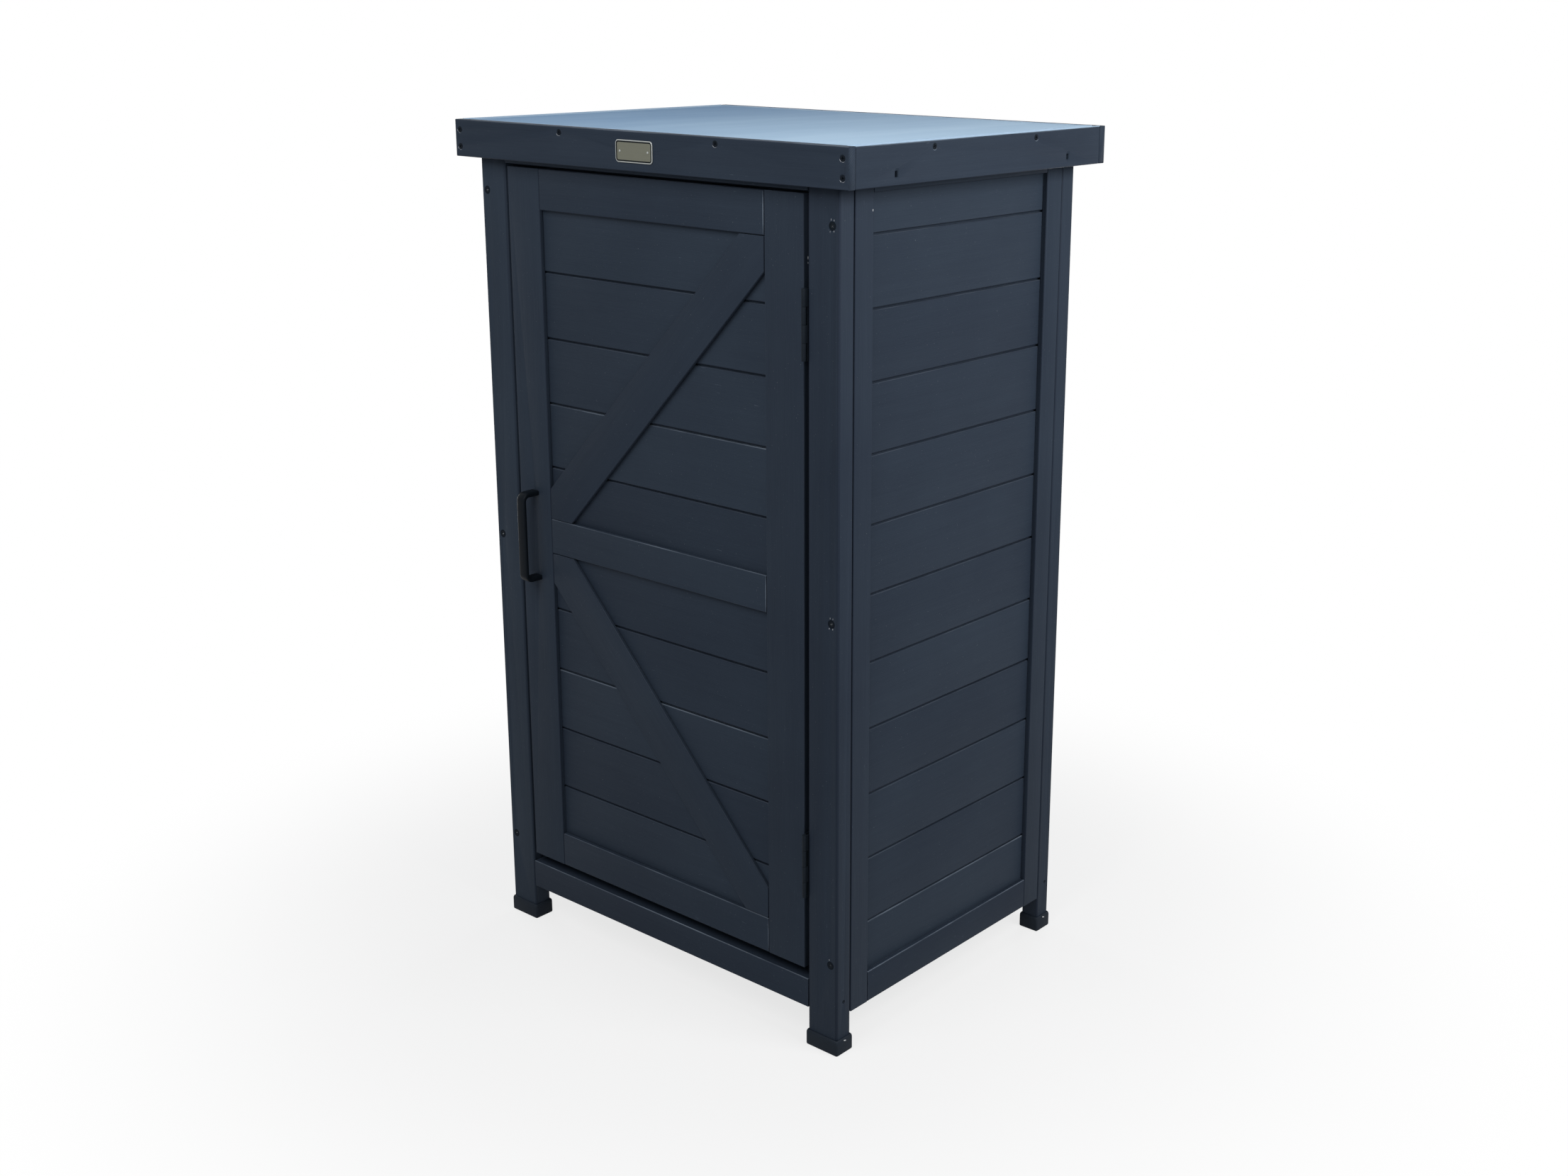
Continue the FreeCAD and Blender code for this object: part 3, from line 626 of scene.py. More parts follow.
# %% Mix the other finishes
def skin(name, dark, light, rough, metallic=0.0, specular=0.5, scale=140.0):
    """A surface between two screen colours with cloudy mottling, a fine grain and a low relief."""
    finish = Finish(bpy.data.materials.new(name))
    place = finish.place()
    mottle = finish.noise(place, scale, 4.0, 0.6)
    fine = finish.noise(place, 6 * np.asarray(scale))
    scratch = finish.noise(place, (900.0, 900.0, 60.0), 3.0, 0.7).between(0.68, 0.76)
    shade = finish.mix(mottle * 0.7 + fine * 0.3 + scratch * 0.25, colour(*dark), colour(*light))
    values = {"Base_Color": shade, "Roughness": rough + mottle * 0.15, "Metallic": metallic}
    return finish.surface(**values, Normal=finish.bump(fine, 0.05 * mm), Specular_IOR_Level=specular)


cap_plastic = skin("foot_cap_plastic", (25, 30, 37), (36, 42, 50), 0.5, specular=0.05)
handle_black = skin("handle_black", (9, 13, 17), (17, 22, 28), 0.3, specular=0.04)
hinge_black = skin("hinge_black", (17, 22, 28), (28, 34, 41), 0.45, specular=0.05)
screw_dark = skin("screw_dark", (12, 17, 22), (22, 28, 35), 0.5, specular=0.04)
screw_bright = skin("screw_bright", (58, 62, 68), (138, 142, 148), 0.35, 0.4)
plate_field = skin("plate_field", (90, 91, 80), (106, 107, 95), 0.4, 0.3, 0.3, (40.0, 400.0, 900.0))
plate_rim = skin("plate_rim", (132, 136, 135), (165, 168, 166), 0.25, 0.4, 0.4)
plate_groove = skin("plate_groove", (14, 17, 19), (26, 30, 32), 0.5, specular=0.05)
catch_plastic = skin("catch_plastic", (190, 190, 185), (205, 205, 200), 0.45)
strike_steel = skin("strike_steel", (150, 150, 148), (175, 175, 172), 0.3, 0.9)
staple_steel = skin("staple_steel", (170, 172, 174), (215, 216, 218), 0.3, 0.5)
torn_wood = skin("torn_wood", (120, 124, 129), (172, 175, 179), 0.8, specular=0.1)
pale_paint = skin("pale_paint", (72, 82, 94), (104, 114, 126), 0.8, specular=0.05)
pooled_paint = skin("pooled_paint", (29, 36, 46), (41, 50, 61), 0.6, specular=0.05)
# Dark colour for the painted shade round screw heads and nails.
countersink_shade = skin("countersink_shade", (13, 18, 24), (22, 28, 36), 0.7, specular=0.03)
print("materials in the file:", len(bpy.data.materials))

# %% [markdown]
# ## Foot caps
# Each leg stands in a moulded cup. Its outline is a rounded rectangle at every height, so the cup is a stack
# of rings: out from a pole under the foot, round the bottom edge, up the wall, in over a soft shoulder to
# the post, and back down inside to a pole on the cup's floor.

# %% Foot caps
cap_wall, cap_corner = 2.0 * mm, 2.6 * mm
cap_bottom_rounding, cap_shoulder = 2.0 * mm, 4.5 * mm
cap_floor = 2.0 * mm


def foot_cap(node):
    """Rings as pairs of inset and height. The bottom edge is a quarter circle, and the shoulder is a quarter
    ellipse, as wide as the wall is thick. A ring's corners tighten half as fast as it moves in."""
    low, high = box(node)
    middle, half = (low + high) / 2, (high - low) / 2
    bend = np.linspace(0, np.pi / 2, 5)
    pole = half.max()
    inset = np.concatenate([[pole], cap_bottom_rounding * (1 - np.sin(bend)), cap_wall * (1 - np.cos(bend)),
                            [cap_wall, pole]])
    height = np.concatenate([[0], cap_bottom_rounding * (1 - np.cos(bend)),
                             high[2] - cap_shoulder * (1 - np.sin(bend)), [cap_floor, cap_floor]])
    half_x, half_y = np.maximum(half[0] - inset, 0), np.maximum(half[1] - inset, 0)
    radius = np.minimum(np.maximum(cap_corner - inset * 0.5, 0), np.minimum(half_x, half_y))
    across, deep = rounded_ring(half_x, half_y, radius)
    rings = points(middle[0] + across, middle[1] + deep, height[:, None])
    dress(fitting(node + "_moulded", [(rings, 0)], [cap_plastic]), node)


cap_nodes = [node for node in frame["nodes"] if node.startswith("foot_cap")]
for node in cap_nodes:
    foot_cap(node)

# %% [markdown]
# ## Bow handle
# The handle is one flat bar, bent twice, a little thicker in its legs than in its grip. Half of its path is
# a leg and a quarter turn, and the other half is the same seen in a mirror. The long edges are well rounded,
# which is what makes the bright streak on the upper bend.

# %% Bow handle
handle_bend, leg_thickness, grip_thickness = 12 * mm, 7 * mm, 5.5 * mm
handle_rounding = 1.8 * mm
bend_steps = 10


def there_and_back(first_half, mirrored):
    """The first half of a path and then the mirrored one, which runs the other way."""
    return np.concatenate([first_half, mirrored[::-1]])


def bow_handle(node):
    """The middle of the bar runs at half its thickness inside the bend's outer circle. Its sections lie
    along X and along the radius of the bend."""
    low, high = box(node)
    straight = high[1] - low[1] - handle_bend
    turn = np.radians(np.concatenate([[0, 0], np.linspace(0, 90, bend_steps)]))
    leg = np.concatenate([[straight, straight / 2], np.zeros(bend_steps)])
    thickness = leg_thickness + (grip_thickness - leg_thickness) * turn / turn.max()
    radius = handle_bend - thickness / 2
    deep = low[1] + handle_bend + leg - radius * np.sin(turn)
    upper = high[2] - handle_bend + radius * np.cos(turn)
    lower = low[2] + high[2] - upper
    path = points((low[0] + high[0]) / 2, there_and_back(deep, deep), there_and_back(upper, lower))
    sine, cosine = np.sin(turn), np.cos(turn)
    outwards = points(0, there_and_back(-sine, -sine), there_and_back(cosine, -cosine))
    half_height = there_and_back(thickness, thickness) / 2
    bar = bar_along(path, x_axis, outwards, (high[0] - low[0]) / 2, half_height, handle_rounding)
    dress(fitting("bow_handle", [(bar, 0)], [handle_black]), node)


bow_handle("door_handle")

# %% [markdown]
# ## Butt hinges
# A leaf is a plate whose edge is cut into straps, and each strap is rolled round the pin. In plan the strap
# runs straight and then follows a circle, so its middle line is a path, and its section is as tall as the
# knuckle. The heights of the knuckles are read from the solid: they are the levels of its corners in front
# of the notches.

# %% Butt hinges
leaf_thickness, notch_clearance, leaf_rounding = 1.2 * mm, 0.5 * mm, 0.2 * mm
roll_end, roll_steps = math.radians(325), 34
plate_thinning = np.array([0.8, 1.0, 1.0, 0.6])


def hinge_leaf(node, pin):
    """Straps: the angle of the roll runs from 0, where the strap meets the circle, round the pin's front.
    The plate behind them is one more bar, a little thinner at its two ends."""
    corners = np.concatenate(solids_in(node))
    low, high = corners.min(axis=0), corners.max(axis=0)
    barrel = pin.face[1] - low[1]
    notch = pin.face[1] + barrel + notch_clearance
    sign = 1 if body_with(node) == "cabinet" else -1
    radius = barrel - leaf_thickness / 2
    levels = np.unique(np.round(corners[corners[:, 1] < pin.face[1], 2], 6)).reshape(-1, 2)
    turn = np.linspace(0, roll_end, roll_steps)
    plan_x = np.concatenate([[sign * radius], sign * radius * np.cos(turn)]) + pin.face[0]
    plan_y = np.concatenate([[notch], pin.face[1] - radius * np.sin(turn)])
    outwards = points(np.append(sign, sign * np.cos(turn)), np.append(0, -np.sin(turn)), 0)
    shells = []
    for bottom, top in levels:
        path = points(plan_x, plan_y, (bottom + top) / 2)
        strap = bar_along(path, z_axis, outwards, (top - bottom) / 2, leaf_thickness / 2, leaf_rounding)
        shells.append((strap, 0))
    ends = np.array([notch, notch, high[1] - leaf_rounding, high[1]])
    path = points(pin.face[0] + sign * radius, ends, (low[2] + high[2]) / 2)
    half = (high[2] - low[2]) / 2 - np.array([leaf_rounding, 0, 0, leaf_rounding])
    plate = bar_along(path, z_axis, x_axis, half, plate_thinning * leaf_thickness / 2, leaf_rounding)
    dress(fitting(node + "_rolled", shells + [(plate, 0)], [hinge_black]), node)


for node in [node for node in frame["nodes"] if "_leaf_" in node]:
    middle = box(node)[:, 2].mean()
    hinge_leaf(node, min(fasteners["hinge_pins"], key=lambda pin: abs(pin.face[2] - middle)))

# %% [markdown]
# ## Screws, nails and pins
# All of them are circles stacked on an axis. In the face of a screw lies a cross for the driver: its outline
# is the nearer of the end of an arm and the side of an arm at each angle, and it sinks to a point in the
# middle. The circles outside it and the cross inside it share the same columns of the grid, so the cross has
# crisp edges, and nothing is cut out of the head.

# %% Screws, nails and pins
quarter = np.radians([-45, -30, -20, -14, -7, 0, 7, 14, 20, 30])
columns_turn = np.concatenate([quarter + k * np.pi / 2 for k in range(4)])
arm_angle = np.tile(quarter, 4)
arm_reach, arm_width, cross_depth = 0.58, 0.15, 0.5
least_sine = 0.05  # in the middle of an arm its side is far away
arm_side = arm_width / np.maximum(np.abs(np.sin(arm_angle)), least_sine)
cross = np.minimum(arm_reach / np.cos(arm_angle), arm_side)
rim_circles = ((0.72, 0.0), (0.9, 0.0), (0.97, 0.03), (1.0, 0.09))


def turned_piece(screw, crossed, dome, lift, bared):
    """Rows of radius and depth from the middle of the face inwards, first as shares of the head's radius.
    The face rises in a parabola of a given dome, and lift raises all of it out of the solid's own face."""
    head, round_row = screw.head, np.ones(len(columns_turn))
    rows = [(0 * round_row, cross_depth if crossed else 0.0)]
    if crossed:
        rows += [(cross * 0.3, cross_depth), (cross * 0.88, 0.3 * cross_depth), (cross, 0.0)]
    rows += [(share * round_row, sunk) for share, sunk in rim_circles]
    radius = [head * share for share, _ in rows]
    depth = [head * sunk + dome * share ** 2 - lift for share, sunk in rows]
    inner = screw.depths > depth[-1].max()
    for far, wide in zip(screw.depths[inner], screw.radii[inner]):
        radius.append(wide * round_row)
        depth.append(far * round_row)
    radius.append(0 * round_row)
    depth.append(depth[-1])
    radius, depth = np.array(radius), np.array(depth)
    ring = spokes(columns_turn + chance.uniform(0, np.pi / 2), screw.inward)
    grid = screw.face + radius[..., None] * ring + depth[..., None] * screw.inward
    bright = np.zeros(len(radius) - 1, int)
    bright[:bared] = 1
    return grid, bright


def turned_group(node, crossed, dome=0.0, lift=0.0, bared=0, finishes=(screw_dark, screw_bright)):
    """All fasteners of one node as one piece. Bared is how many bands about the middle are bare steel."""
    shells = [turned_piece(screw, crossed, dome, lift, bared) for screw in fasteners[node]]
    dress(fitting(node + "_turned", shells, finishes), node)


turned_group("carcass_screws", True, bared=2)
turned_group("roof_screws", True)
turned_group("hinge_post_screws", True, dome=0.25 * mm, lift=0.25 * mm, bared=2)
turned_group("hinge_door_screws", True, dome=0.25 * mm, lift=0.25 * mm, bared=2)
turned_group("handle_screws", True, dome=1.0 * mm, bared=2)
turned_group("rail_nails", False, dome=0.1 * mm, lift=-0.6 * mm)
turned_group("name_plate_pins", False, dome=0.45 * mm, finishes=(plate_rim,))
turned_group("hinge_pins", False, dome=0.3 * mm, finishes=(hinge_black,))

# %% [markdown]
# ## Torn paint and painted shade round the screws
# Round each screw head and nail lies a dark ring, a painted shade where the wood slopes into its hole. On
# the right posts the screws also pushed up pale dashes, and on the fascias pale crescents. Colour alone would
# leave them flat, so the rings are low sections carried round the screws. Dashes and crescents are very low
# bars that narrow at both ends, as their width follows the sine of the way along. The same bars make the few
# chips of a used cabinet.

# %% Slivers and rings
sliver_height = 0.18 * mm
screw_sink, countersink_shade_ring_radius, countersink_shade_ring_height = 0.4 * mm, 5.6 * mm, 0.07 * mm
nail_countersink_shade_ring = 2.4 * mm
slot_height, level = 1138.5 * mm, 0.1 * mm


def sliver(path, side, outwards, width):
    """A bar along a path of points, half sunk in the wood, as wide as the sine of the way along it."""
    swell = np.sin(np.linspace(0.15, np.pi - 0.15, len(path)))
    half_height = sliver_height * swell
    return bar_along(path, side, outwards, width / 2 * swell, half_height, half_height * 0.9)


def straight(start, end, steps=9):
    """Points from a start to an end."""
    return start + np.linspace(0, 1, steps)[:, None] * (np.asarray(end) - start)


def countersink_shade_ring(screw, middle, outer):
    """A low dark ring about a screw, a painted shade: a section that is thin at its outer side is carried
    round the middle.
    """
    outwards, inner = -screw.inward, screw.head * 0.98
    ring = spokes(np.linspace(0, 2 * np.pi, 32, endpoint=False), outwards)
    radius = np.array([inner, outer, outer, inner, inner])
    rise = np.array([1, 0.4, -1, -1, 1]) * countersink_shade_ring_height
    return middle + radius[:, None, None] * ring + rise[:, None, None] * outwards, 0


def board_face(screw):
    """Where the screw's axis leaves the shrunk board."""
    return screw.face - screw.inward * (screw_sink - hairline)


in_slots = [screw for screw in fasteners["roof_screws"]
            if abs(screw.inward[0]) > 0.5 and abs(screw.face[2] - slot_height) < level]
print("screws in slots:", len(in_slots))

# %% Marks of the screws
# Dark rings round the screws and nails: painted shade.
countersink_shade_rings = [countersink_shade_ring(screw, board_face(screw), countersink_shade_ring_radius) for screw in fasteners["carcass_screws"]]
countersink_shade_rings += [countersink_shade_ring(nail, nail.face + nail.inward * hairline, nail_countersink_shade_ring) for nail in fasteners["rail_nails"]]
countersink_shade_piece = fitting("countersink_shade", countersink_shade_rings, [countersink_shade])

dashes = []
dash_places = ((-2.0, 5.7), (2.6, 5.8), (-3.4, -7.6), (2.4, -7.4))
low_screws = 300 * mm
for screw in fasteners["carcass_screws"]:
    middle = board_face(screw)
    if middle[0] < 0:
        continue
    for across, rise in dash_places[:1] if middle[2] < low_screws else dash_places:
        start = middle + across * mm * x_axis + (rise + chance.uniform(-0.3, 0.3)) * mm * z_axis
        end = start + chance.uniform(2.0, 3.0) * mm * z_axis
        dashes.append((sliver(straight(start, end), x_axis, -screw.inward, chance.uniform(0.6, 1.0) * mm), 0))

crescent_radius = 4.6 * mm
crescents = ((3.3, 4.2, 0.6), (4.3, 5.3, 0.35))
faint_crescents = ((3.9, 5.6, 0.8),)
for screw in fasteners["roof_screws"]:
    if screw in in_slots:
        continue
    middle, outwards = board_face(screw), -screw.inward
    on_side = abs(outwards[0]) > 0.5
    right_hand = np.cross(z_axis, outwards)
    for first, last, width in faint_crescents if on_side else crescents:
        turn = np.linspace(first, last, 9)[:, None] + chance.uniform(-0.25, 0.25)
        ray = np.cos(turn) * right_hand + np.sin(turn) * z_axis
        mark = sliver(middle + crescent_radius * ray, ray, outwards, width * mm)
        dashes.append((mark, 1 if on_side else 0))

chips = (
    # start, end, side across, outwards, width
    ((272.6, -241.65, 1034), (272.6, -241.65, 1036), x_axis, -y_axis, 0.4),
    ((272.7, -241.65, 1039), (272.7, -241.65, 1043), x_axis, -y_axis, 0.5),
    ((321.65, -181.6, 1094), (321.65, -181.4, 1097), y_axis, x_axis, 1.4),
)
for start, end, side, outwards, width in chips:
    dashes.append((sliver(straight(np.array(start) * mm, np.array(end) * mm), side, outwards, width * mm), 0))
torn = fitting("torn_paint", dashes, [torn_wood, pale_paint])

# %% [markdown]
# ## Pooled paint and pale strips at the rails' ends
# Paint has run into the two tall slots of each side fascia and lines them with a soft sleeve: a stack of
# rounded rectangles again, whose last row is its first, so that it closes on itself like a tyre. At the
# right ends of the door's rails lies one pale sliver each.

# %% Paint pooled in the fascias' slots
slot_rows = np.array([
    # inset from the slot's side, depth below the board's face
    [-0.3, 0.35], [0.4, 0.4], [1.7, 1.2], [2.2, 2.0], [2.3, 4.6], [-0.2, 4.7], [-0.3, 0.35],
]) * mm
slot_half, slot_corner, tall_share = (4.5 * mm, 7.5 * mm), 3.0 * mm, 1.7
fascia_face = 350 * mm


def pool(screw):
    """A sleeve of paint that lines a slot and leaves a smaller opening over its screw. Its ends are as many
    times thicker than its sides as the tall share says."""
    inset, depth = slot_rows.T
    half_tall = slot_half[1] - inset * tall_share
    across, tall = rounded_ring(slot_half[0] - inset, half_tall, np.maximum(slot_corner - inset, 1 * mm))
    middle = np.array([math.copysign(fascia_face, screw.face[0]), screw.face[1], slot_height])
    outline = across[..., None] * y_axis + tall[..., None] * z_axis
    return middle + outline + depth[:, None, None] * screw.inward


pools = fitting("pooled_paint", [(pool(screw), 0) for screw in in_slots], [pooled_paint])
for piece in (countersink_shade_piece, torn, pools):
    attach(piece, "cabinet")

# %% Pale strips at the rails' ends
rail_ends = (("door_top_rail", 1.7), ("door_mid_rail", 1.3), ("door_bottom_rail", 0.9))
pale_strip_margin, overlap = 1.2 * mm, 0.7
pale_strips = []
for node, width in rail_ends:
    low, high = box(node)
    start = np.array([high[0] - width * mm * overlap, low[1] + hairline, low[2] + pale_strip_margin])
    end = start + (high[2] - low[2] - 2 * pale_strip_margin) * z_axis
    pale_strips.append((sliver(straight(start, end, 15), x_axis, -y_axis, width * mm), 0))
pale_strip_piece = fitting("pale_rail_end_strips", pale_strips, [pale_paint])
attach(pale_strip_piece, "door")

# %% [markdown]
# ## Staples
# One small staple pins each foot cap to its post: a bar whose path comes out of the plastic, runs along it a
# little askew, as staples do, and goes back in.

# %% Staples in the foot caps
staple_length, staple_height, staple_tilt = 3.6 * mm, 18.6 * mm, 0.3
wire_width, wire_thickness, wire_rounding = 1.3 * mm, 0.6 * mm, 0.2 * mm
staple_rows = np.array([
    # share of the length, height in millimetres above the cap, lean along the wire, lean outwards
    [-0.5, -2.0, -1, 0],
    [-0.5, -0.1, -0.7, 0.7],
    [-0.42, 0.25, 0, 1],
    [0.42, 0.25, 0, 1],
    [0.5, -0.1, 0.7, 0.7],
    [0.5, -2.0, 1, 0],
])


def staple(node):
    """A wire in the cap's outer side. At its bends its section leans over from along the wire to
    outwards."""
    low, high = box(node)
    outwards = math.copysign(1, low[0]) * x_axis
    along = np.array([0, math.cos(staple_tilt), -math.sin(staple_tilt)])
    middle = np.array([0, (low[1] + high[1]) / 2, staple_height]) + max(abs(low[0]), abs(high[0])) * outwards
    way, out, lean_along, lean_out = staple_rows.T[..., None]
    path = middle + way * staple_length * along + out * mm * outwards
    lean, side = lean_along * along + lean_out * outwards, np.cross(x_axis, along)
    return bar_along(path, side, lean, wire_width / 2, wire_thickness / 2, wire_rounding), 0


staples = fitting("cap_staples", [staple(node) for node in cap_nodes], [staple_steel])
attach(staples, "cabinet")

# %% [markdown]
# ## Plate, catch and strike
# The plate is pressed sheet: a bright raised rim, a dark groove inside it and a brushed field, all of them
# rounded rectangles, so it is a stack of rings again, this time laid against the fascia. The catch and its
# strike plate are simple enough to keep their solids' shapes with rounded edges.

# %% Plate, catch and strike
plate_rows = np.array([
    # inset, height above the fascia
    [20.0, 0.0], [0.0, 0.0], [0.0, 0.75], [0.35, 1.0], [1.3, 1.0],
    [1.5, 0.6], [2.9, 0.55], [3.1, 0.85], [20.0, 0.9],
]) * mm
plate_corner, tight_corner = 5.0 * mm, 0.8 * mm
plate_bands = [0, 0, 0, 0, 1, 1, 1, 2]


def name_plate(node):
    """Rings against the fascia, whose corners tighten as they move inwards."""
    low, high = box(node)
    middle, half = (low + high) / 2, (high - low) / 2
    inset, height = plate_rows.T
    half_x, half_z = np.maximum(half[0] - inset, 0), np.maximum(half[2] - inset, 0)
    half_x[[0, -1]] = half_z[[0, -1]] = 0
    radius = np.minimum(np.maximum(plate_corner - inset, tight_corner), np.minimum(half_x, half_z))
    across, tall = rounded_ring(half_x, half_z, radius, 6)
    rings = points(middle[0] + across, high[1] - height[:, None], middle[2] + tall)
    dress(fitting("bare_plate", [(rings, plate_bands)], [plate_rim, plate_groove, plate_field]), node)


name_plate("name_plate")
rounded("magnetic_catch", "magnetic_catch_moulded", 0.7 * mm, [catch_plastic])
rounded("catch_strike_plate", "strike_plate_pressed", 0.3 * mm, [strike_steel])

# %% [markdown]
# ## Roof sheet
# At each side the sheet has a channel between two beads, and at the front and back a low folded hem. Its
# upper face is a height over X and Y: the higher of two profiles, each read by the distance from a rim, and
# a slow waviness of a fraction of a millimetre that bends the reflections. A Solidify modifier gives it its
# thickness, and a narrow bevel its soft rim. Steep faces and the rim are paler: a painted highlight on the
# beads, folds and rim. The coating is painted lighter towards the right too, a painted light gradient.

# %% Measures of the roof sheet
side_profile = np.array([
    # distance from the rim, height
    [0.0, 0.8], [0.4, 1.0], [1.2, 1.0], [1.9, 0.2], [12.4, 0.2],
    [13.0, 1.0], [14.2, 1.0], [15.4, 0.0], [16.4, 0.0],
]) * mm
hem_profile = np.array([[0.0, 0.7], [0.4, 0.9], [4.8, 0.9], [6.4, 0.0], [7.4, 0.0]]) * mm
sheet_thickness, sheet_rise, sheet_rounding = 1.0 * mm, 1.0 * mm, 0.2 * mm
wave_height, wave_fade, steep = 0.35 * mm, 100 * mm, 0.93
print("width of a side's folds and of a hem in metres:", side_profile[-1, 0], hem_profile[-1, 0])


# %% Shape the roof sheet
def ease_in(value):
    """0 below 0, 1 above 1 and a smooth rise between."""
    share = np.clip(value, 0, 1)
    return share * share * (3 - 2 * share)


def across_sheet(half, profile, steps):
    """Places from one rim to the other, closer together where the profile bends."""
    inner = half - profile[-1, 0]
    positive = np.concatenate([np.linspace(0, inner, steps, endpoint=False), half - profile[::-1, 0]])
    return np.concatenate([-positive[:0:-1], positive])


def sheet_height(x, y, half, ground):
    """The ground, plus the side's profile or in the field the higher of both, plus waves that fade towards
    the rims: a sine along X times a cosine along Y, and the phase of each drifts along the other axis."""
    from_side, from_hem = half[0] - np.abs(x), half[1] - np.abs(y)
    side, hem = np.interp(from_side, *side_profile.T), np.interp(from_hem, *hem_profile.T)
    in_field = from_side > side_profile[-2, 0]
    field = np.minimum(ease_in((from_side - side_profile[-1, 0]) / wave_fade),
                       ease_in((from_hem - hem_profile[-1, 0]) / wave_fade))
    wave = np.sin(x * 26 + 1.7 * np.sin(y * 9)) * np.cos(y * 17 + 1.1 * np.sin(x * 7)) * 0.5 + 0.5
    return ground + np.where(in_field, np.maximum(side, hem), side) + wave_height * wave * field


def roof_sheet(node, finishes):
    """A grid over X and Y at the sheet's height, with a wall below it and a soft rim."""
    low, high = box(node)
    middle, half = (low + high) / 2, (high - low) / 2
    x, y = np.meshgrid(across_sheet(half[0], side_profile, 36), across_sheet(half[1], hem_profile, 28))
    grid = points(x + middle[0], y + middle[1], sheet_height(x, y, half, high[2] - sheet_rise))
    mesh = bpy.data.meshes.new("roof_sheet_folded")
    mesh.from_pydata(grid.reshape(-1, 3).tolist(), [], quads(*x.shape, closed=False).tolist())
    # Steep faces take the paler rim finish: a painted highlight.
    coat(mesh, finishes, numbers(mesh.polygons, "normal", 3)[:, 2] < steep)
    mesh.shade_smooth()
    piece = linked("roof_sheet_folded", mesh)
    wall = piece.modifiers.new("thickness", "SOLIDIFY")
    wall.thickness, wall.offset, wall.material_offset_rim = sheet_thickness, -1.0, 1
    rim = piece.modifiers.new("rim", "BEVEL")
    rim.width, rim.segments, rim.limit_method, rim.angle_limit = sheet_rounding, 2, "ANGLE", math.radians(60)
    rim.harden_normals = True
    dress(piece, node)
    print("roof sheet faces:", len(mesh.polygons))


# %% Finish the roof sheet
def sheet_metal():
    """Blue-grey coating, painted lighter towards the right as a painted light gradient, with slow clouds,
    faint streaks and a satin gloss.
    """
    finish = Finish(bpy.data.materials.new("roof_sheet_metal"))
    place = finish.place()
    # Lighter towards the right: a painted light gradient.
    painted_light_gradient = finish.part(place, "X").between(-0.5, 0.5)
    clouds = finish.noise(place, (4.0, 3.0, 3.0), 3.0, 0.5, 0.6)
    streaks = finish.noise(place, (14.0, 1.5, 1.5), 3.0)
    grit = finish.noise(place, 700.0, 2.0, 0.6)
    spots = finish.noise(place, 210.0).between(0.70, 0.78)
    depth = painted_light_gradient * 0.7 + clouds * 0.5 + streaks * 0.35 + grit * 0.1 - 0.35
    shade = finish.mix(depth, colour(65, 110, 150), colour(163, 188, 208))
    shade = finish.mix(spots * 0.12, shade, colour(150, 172, 190))
    rough = 0.42 + clouds * 0.12 + grit * 0.08
    fine = finish.bump(grit, 0.04 * mm)
    return finish.surface(Base_Color=shade, Roughness=rough, Normal=fine, Specular_IOR_Level=0.07)


# Paler finish of the rim and the steep faces: a painted highlight.
sheet_rim_highlight = skin("roof_sheet_rim", (118, 142, 165), (158, 178, 196), 0.4, 0.1, 0.2)
roof_sheet("roof_sheet", [sheet_metal(), sheet_rim_highlight])

# %% [markdown]
# ## Floor and backdrop
# The background is plain white. More light would burn out pale parts before the floor turned white, so the
# floor and the sky are simply white to the camera and to gloss. Near the cabinet a little of the lit floor
# is mixed in, so that its shadow shows.

# %% Floor
floor_radius, floor_corners = 8.0, 96
shadow_near, shadow_far, white_share = 0.45, 1.15, 0.76
white = (1.0, 1.0, 1.0, 1.0)
floor_mesh = bpy.data.meshes.new("floor")
turns = np.linspace(0, 2 * np.pi, floor_corners, endpoint=False)
outline = points(floor_radius * np.cos(turns), floor_radius * np.sin(turns), 0)
floor_mesh.from_pydata(outline.tolist(), [], [list(range(floor_corners))])
floor = linked("floor", floor_mesh)
print("floor radius in metres:", floor_radius)

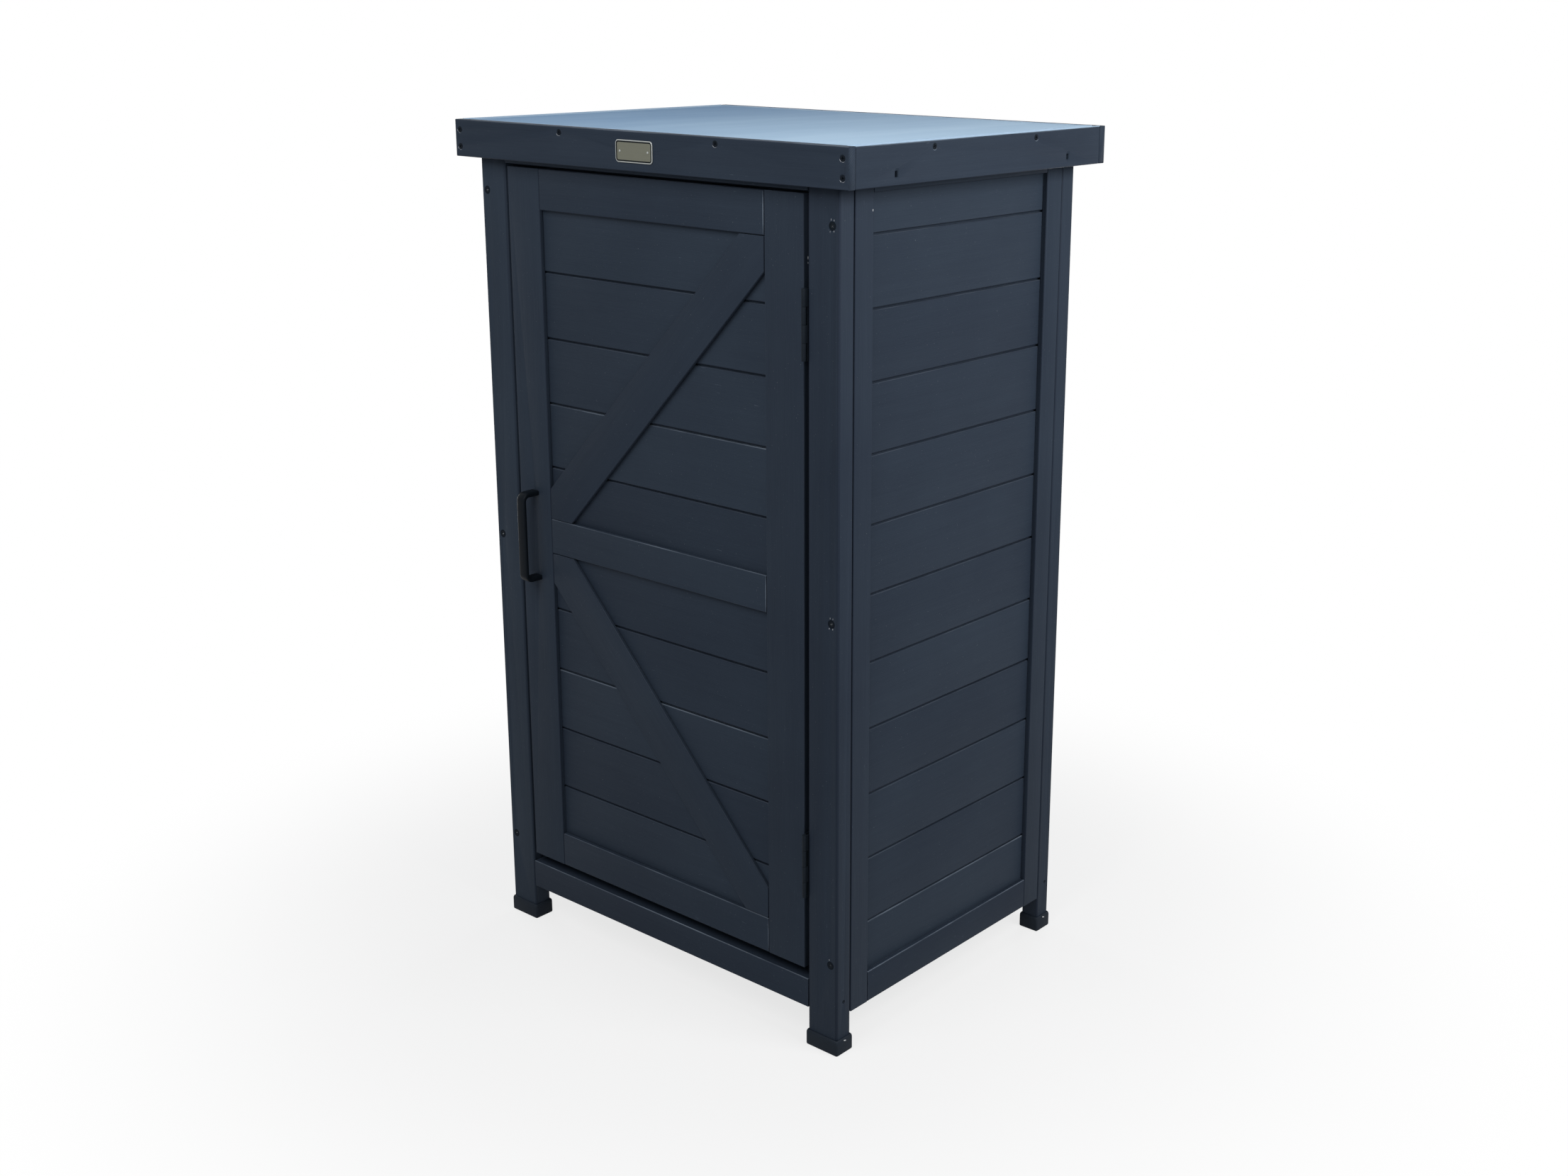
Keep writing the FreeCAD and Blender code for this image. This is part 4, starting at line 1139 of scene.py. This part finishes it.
# %% Finish the floor
ground = Finish(bpy.data.materials.new("studio_floor"))
distance = ground.node("VectorMath", {"operation": "LENGTH"}, {0: ground.place()}, "Value")
whiteness = white_share + (1 - white_share) * distance.between(shadow_near, shadow_far)
lit = ground.node("BsdfDiffuse", {}, {"Color": (0.5, 0.5, 0.5, 1.0)})
bright = ground.node("Emission", {}, {"Color": white, "Strength": 1.0})
both = ground.node("MixShader", {}, {0: whiteness * ground.seen_white(), 1: lit, 2: bright})
ground.node("OutputMaterial", {}, {"Surface": both})
floor_mesh.materials.append(ground.holder)

# %% Sky
sky_colour, sky_strength = (0.92, 0.96, 1.0, 1.0), 0.21
studio = bpy.data.worlds.new("studio")
scene.world = studio
sky = Finish(studio)
soft = sky.node("Background", {}, {"Color": sky_colour, "Strength": sky_strength})
clean = sky.node("Background", {}, {"Color": white, "Strength": 1.0})
sky.node("OutputWorld", {}, {0: sky.node("MixShader", {}, {0: sky.seen_white(), 1: soft, 2: clean})})
print("sky strength:", sky_strength)

# %% [markdown]
# ## Lamps
# A key lamp on the right and two in front, high and low, are large and soft. The key lamp stands only half a
# metre above the roof, so that the side fascia's shadow stays short. The two others, behind and to the left,
# hang lower than the roof and light the sides that the picture doesn't show.

# %% Lamps
lamps = (
    # name, place, target, size in metres, power in watts
    ("key", (1.75, 0.1, 1.65), (0.3, 0.0, 0.8), 1.0, 37.0),
    ("front_high", (0.1, -1.7, 2.4), (0.0, -0.2, 0.9), 1.4, 33.5),
    ("front_low", (1.0, -2.0, 1.6), (0.0, -0.2, 0.9), 1.4, 11.5),
    ("back", (-0.5, 2.2, 0.6), (-0.2, 0.0, 0.6), 1.0, 30.0),
    ("left", (-2.2, 0.4, 0.6), (0.0, 0.3, 0.6), 1.0, 30.0),
)
for name, place, target, size, power in lamps:
    lamp = bpy.data.lights.new(name, "AREA")
    lamp.size, lamp.energy = size, power
    softbox = linked(name, lamp)
    softbox.location = place
    softbox.rotation_euler = (Vector(target) - Vector(place)).to_track_quat("-Z", "Y").to_euler()
scene.view_settings.view_transform = "Standard"
print("lamps:", len(lamps))
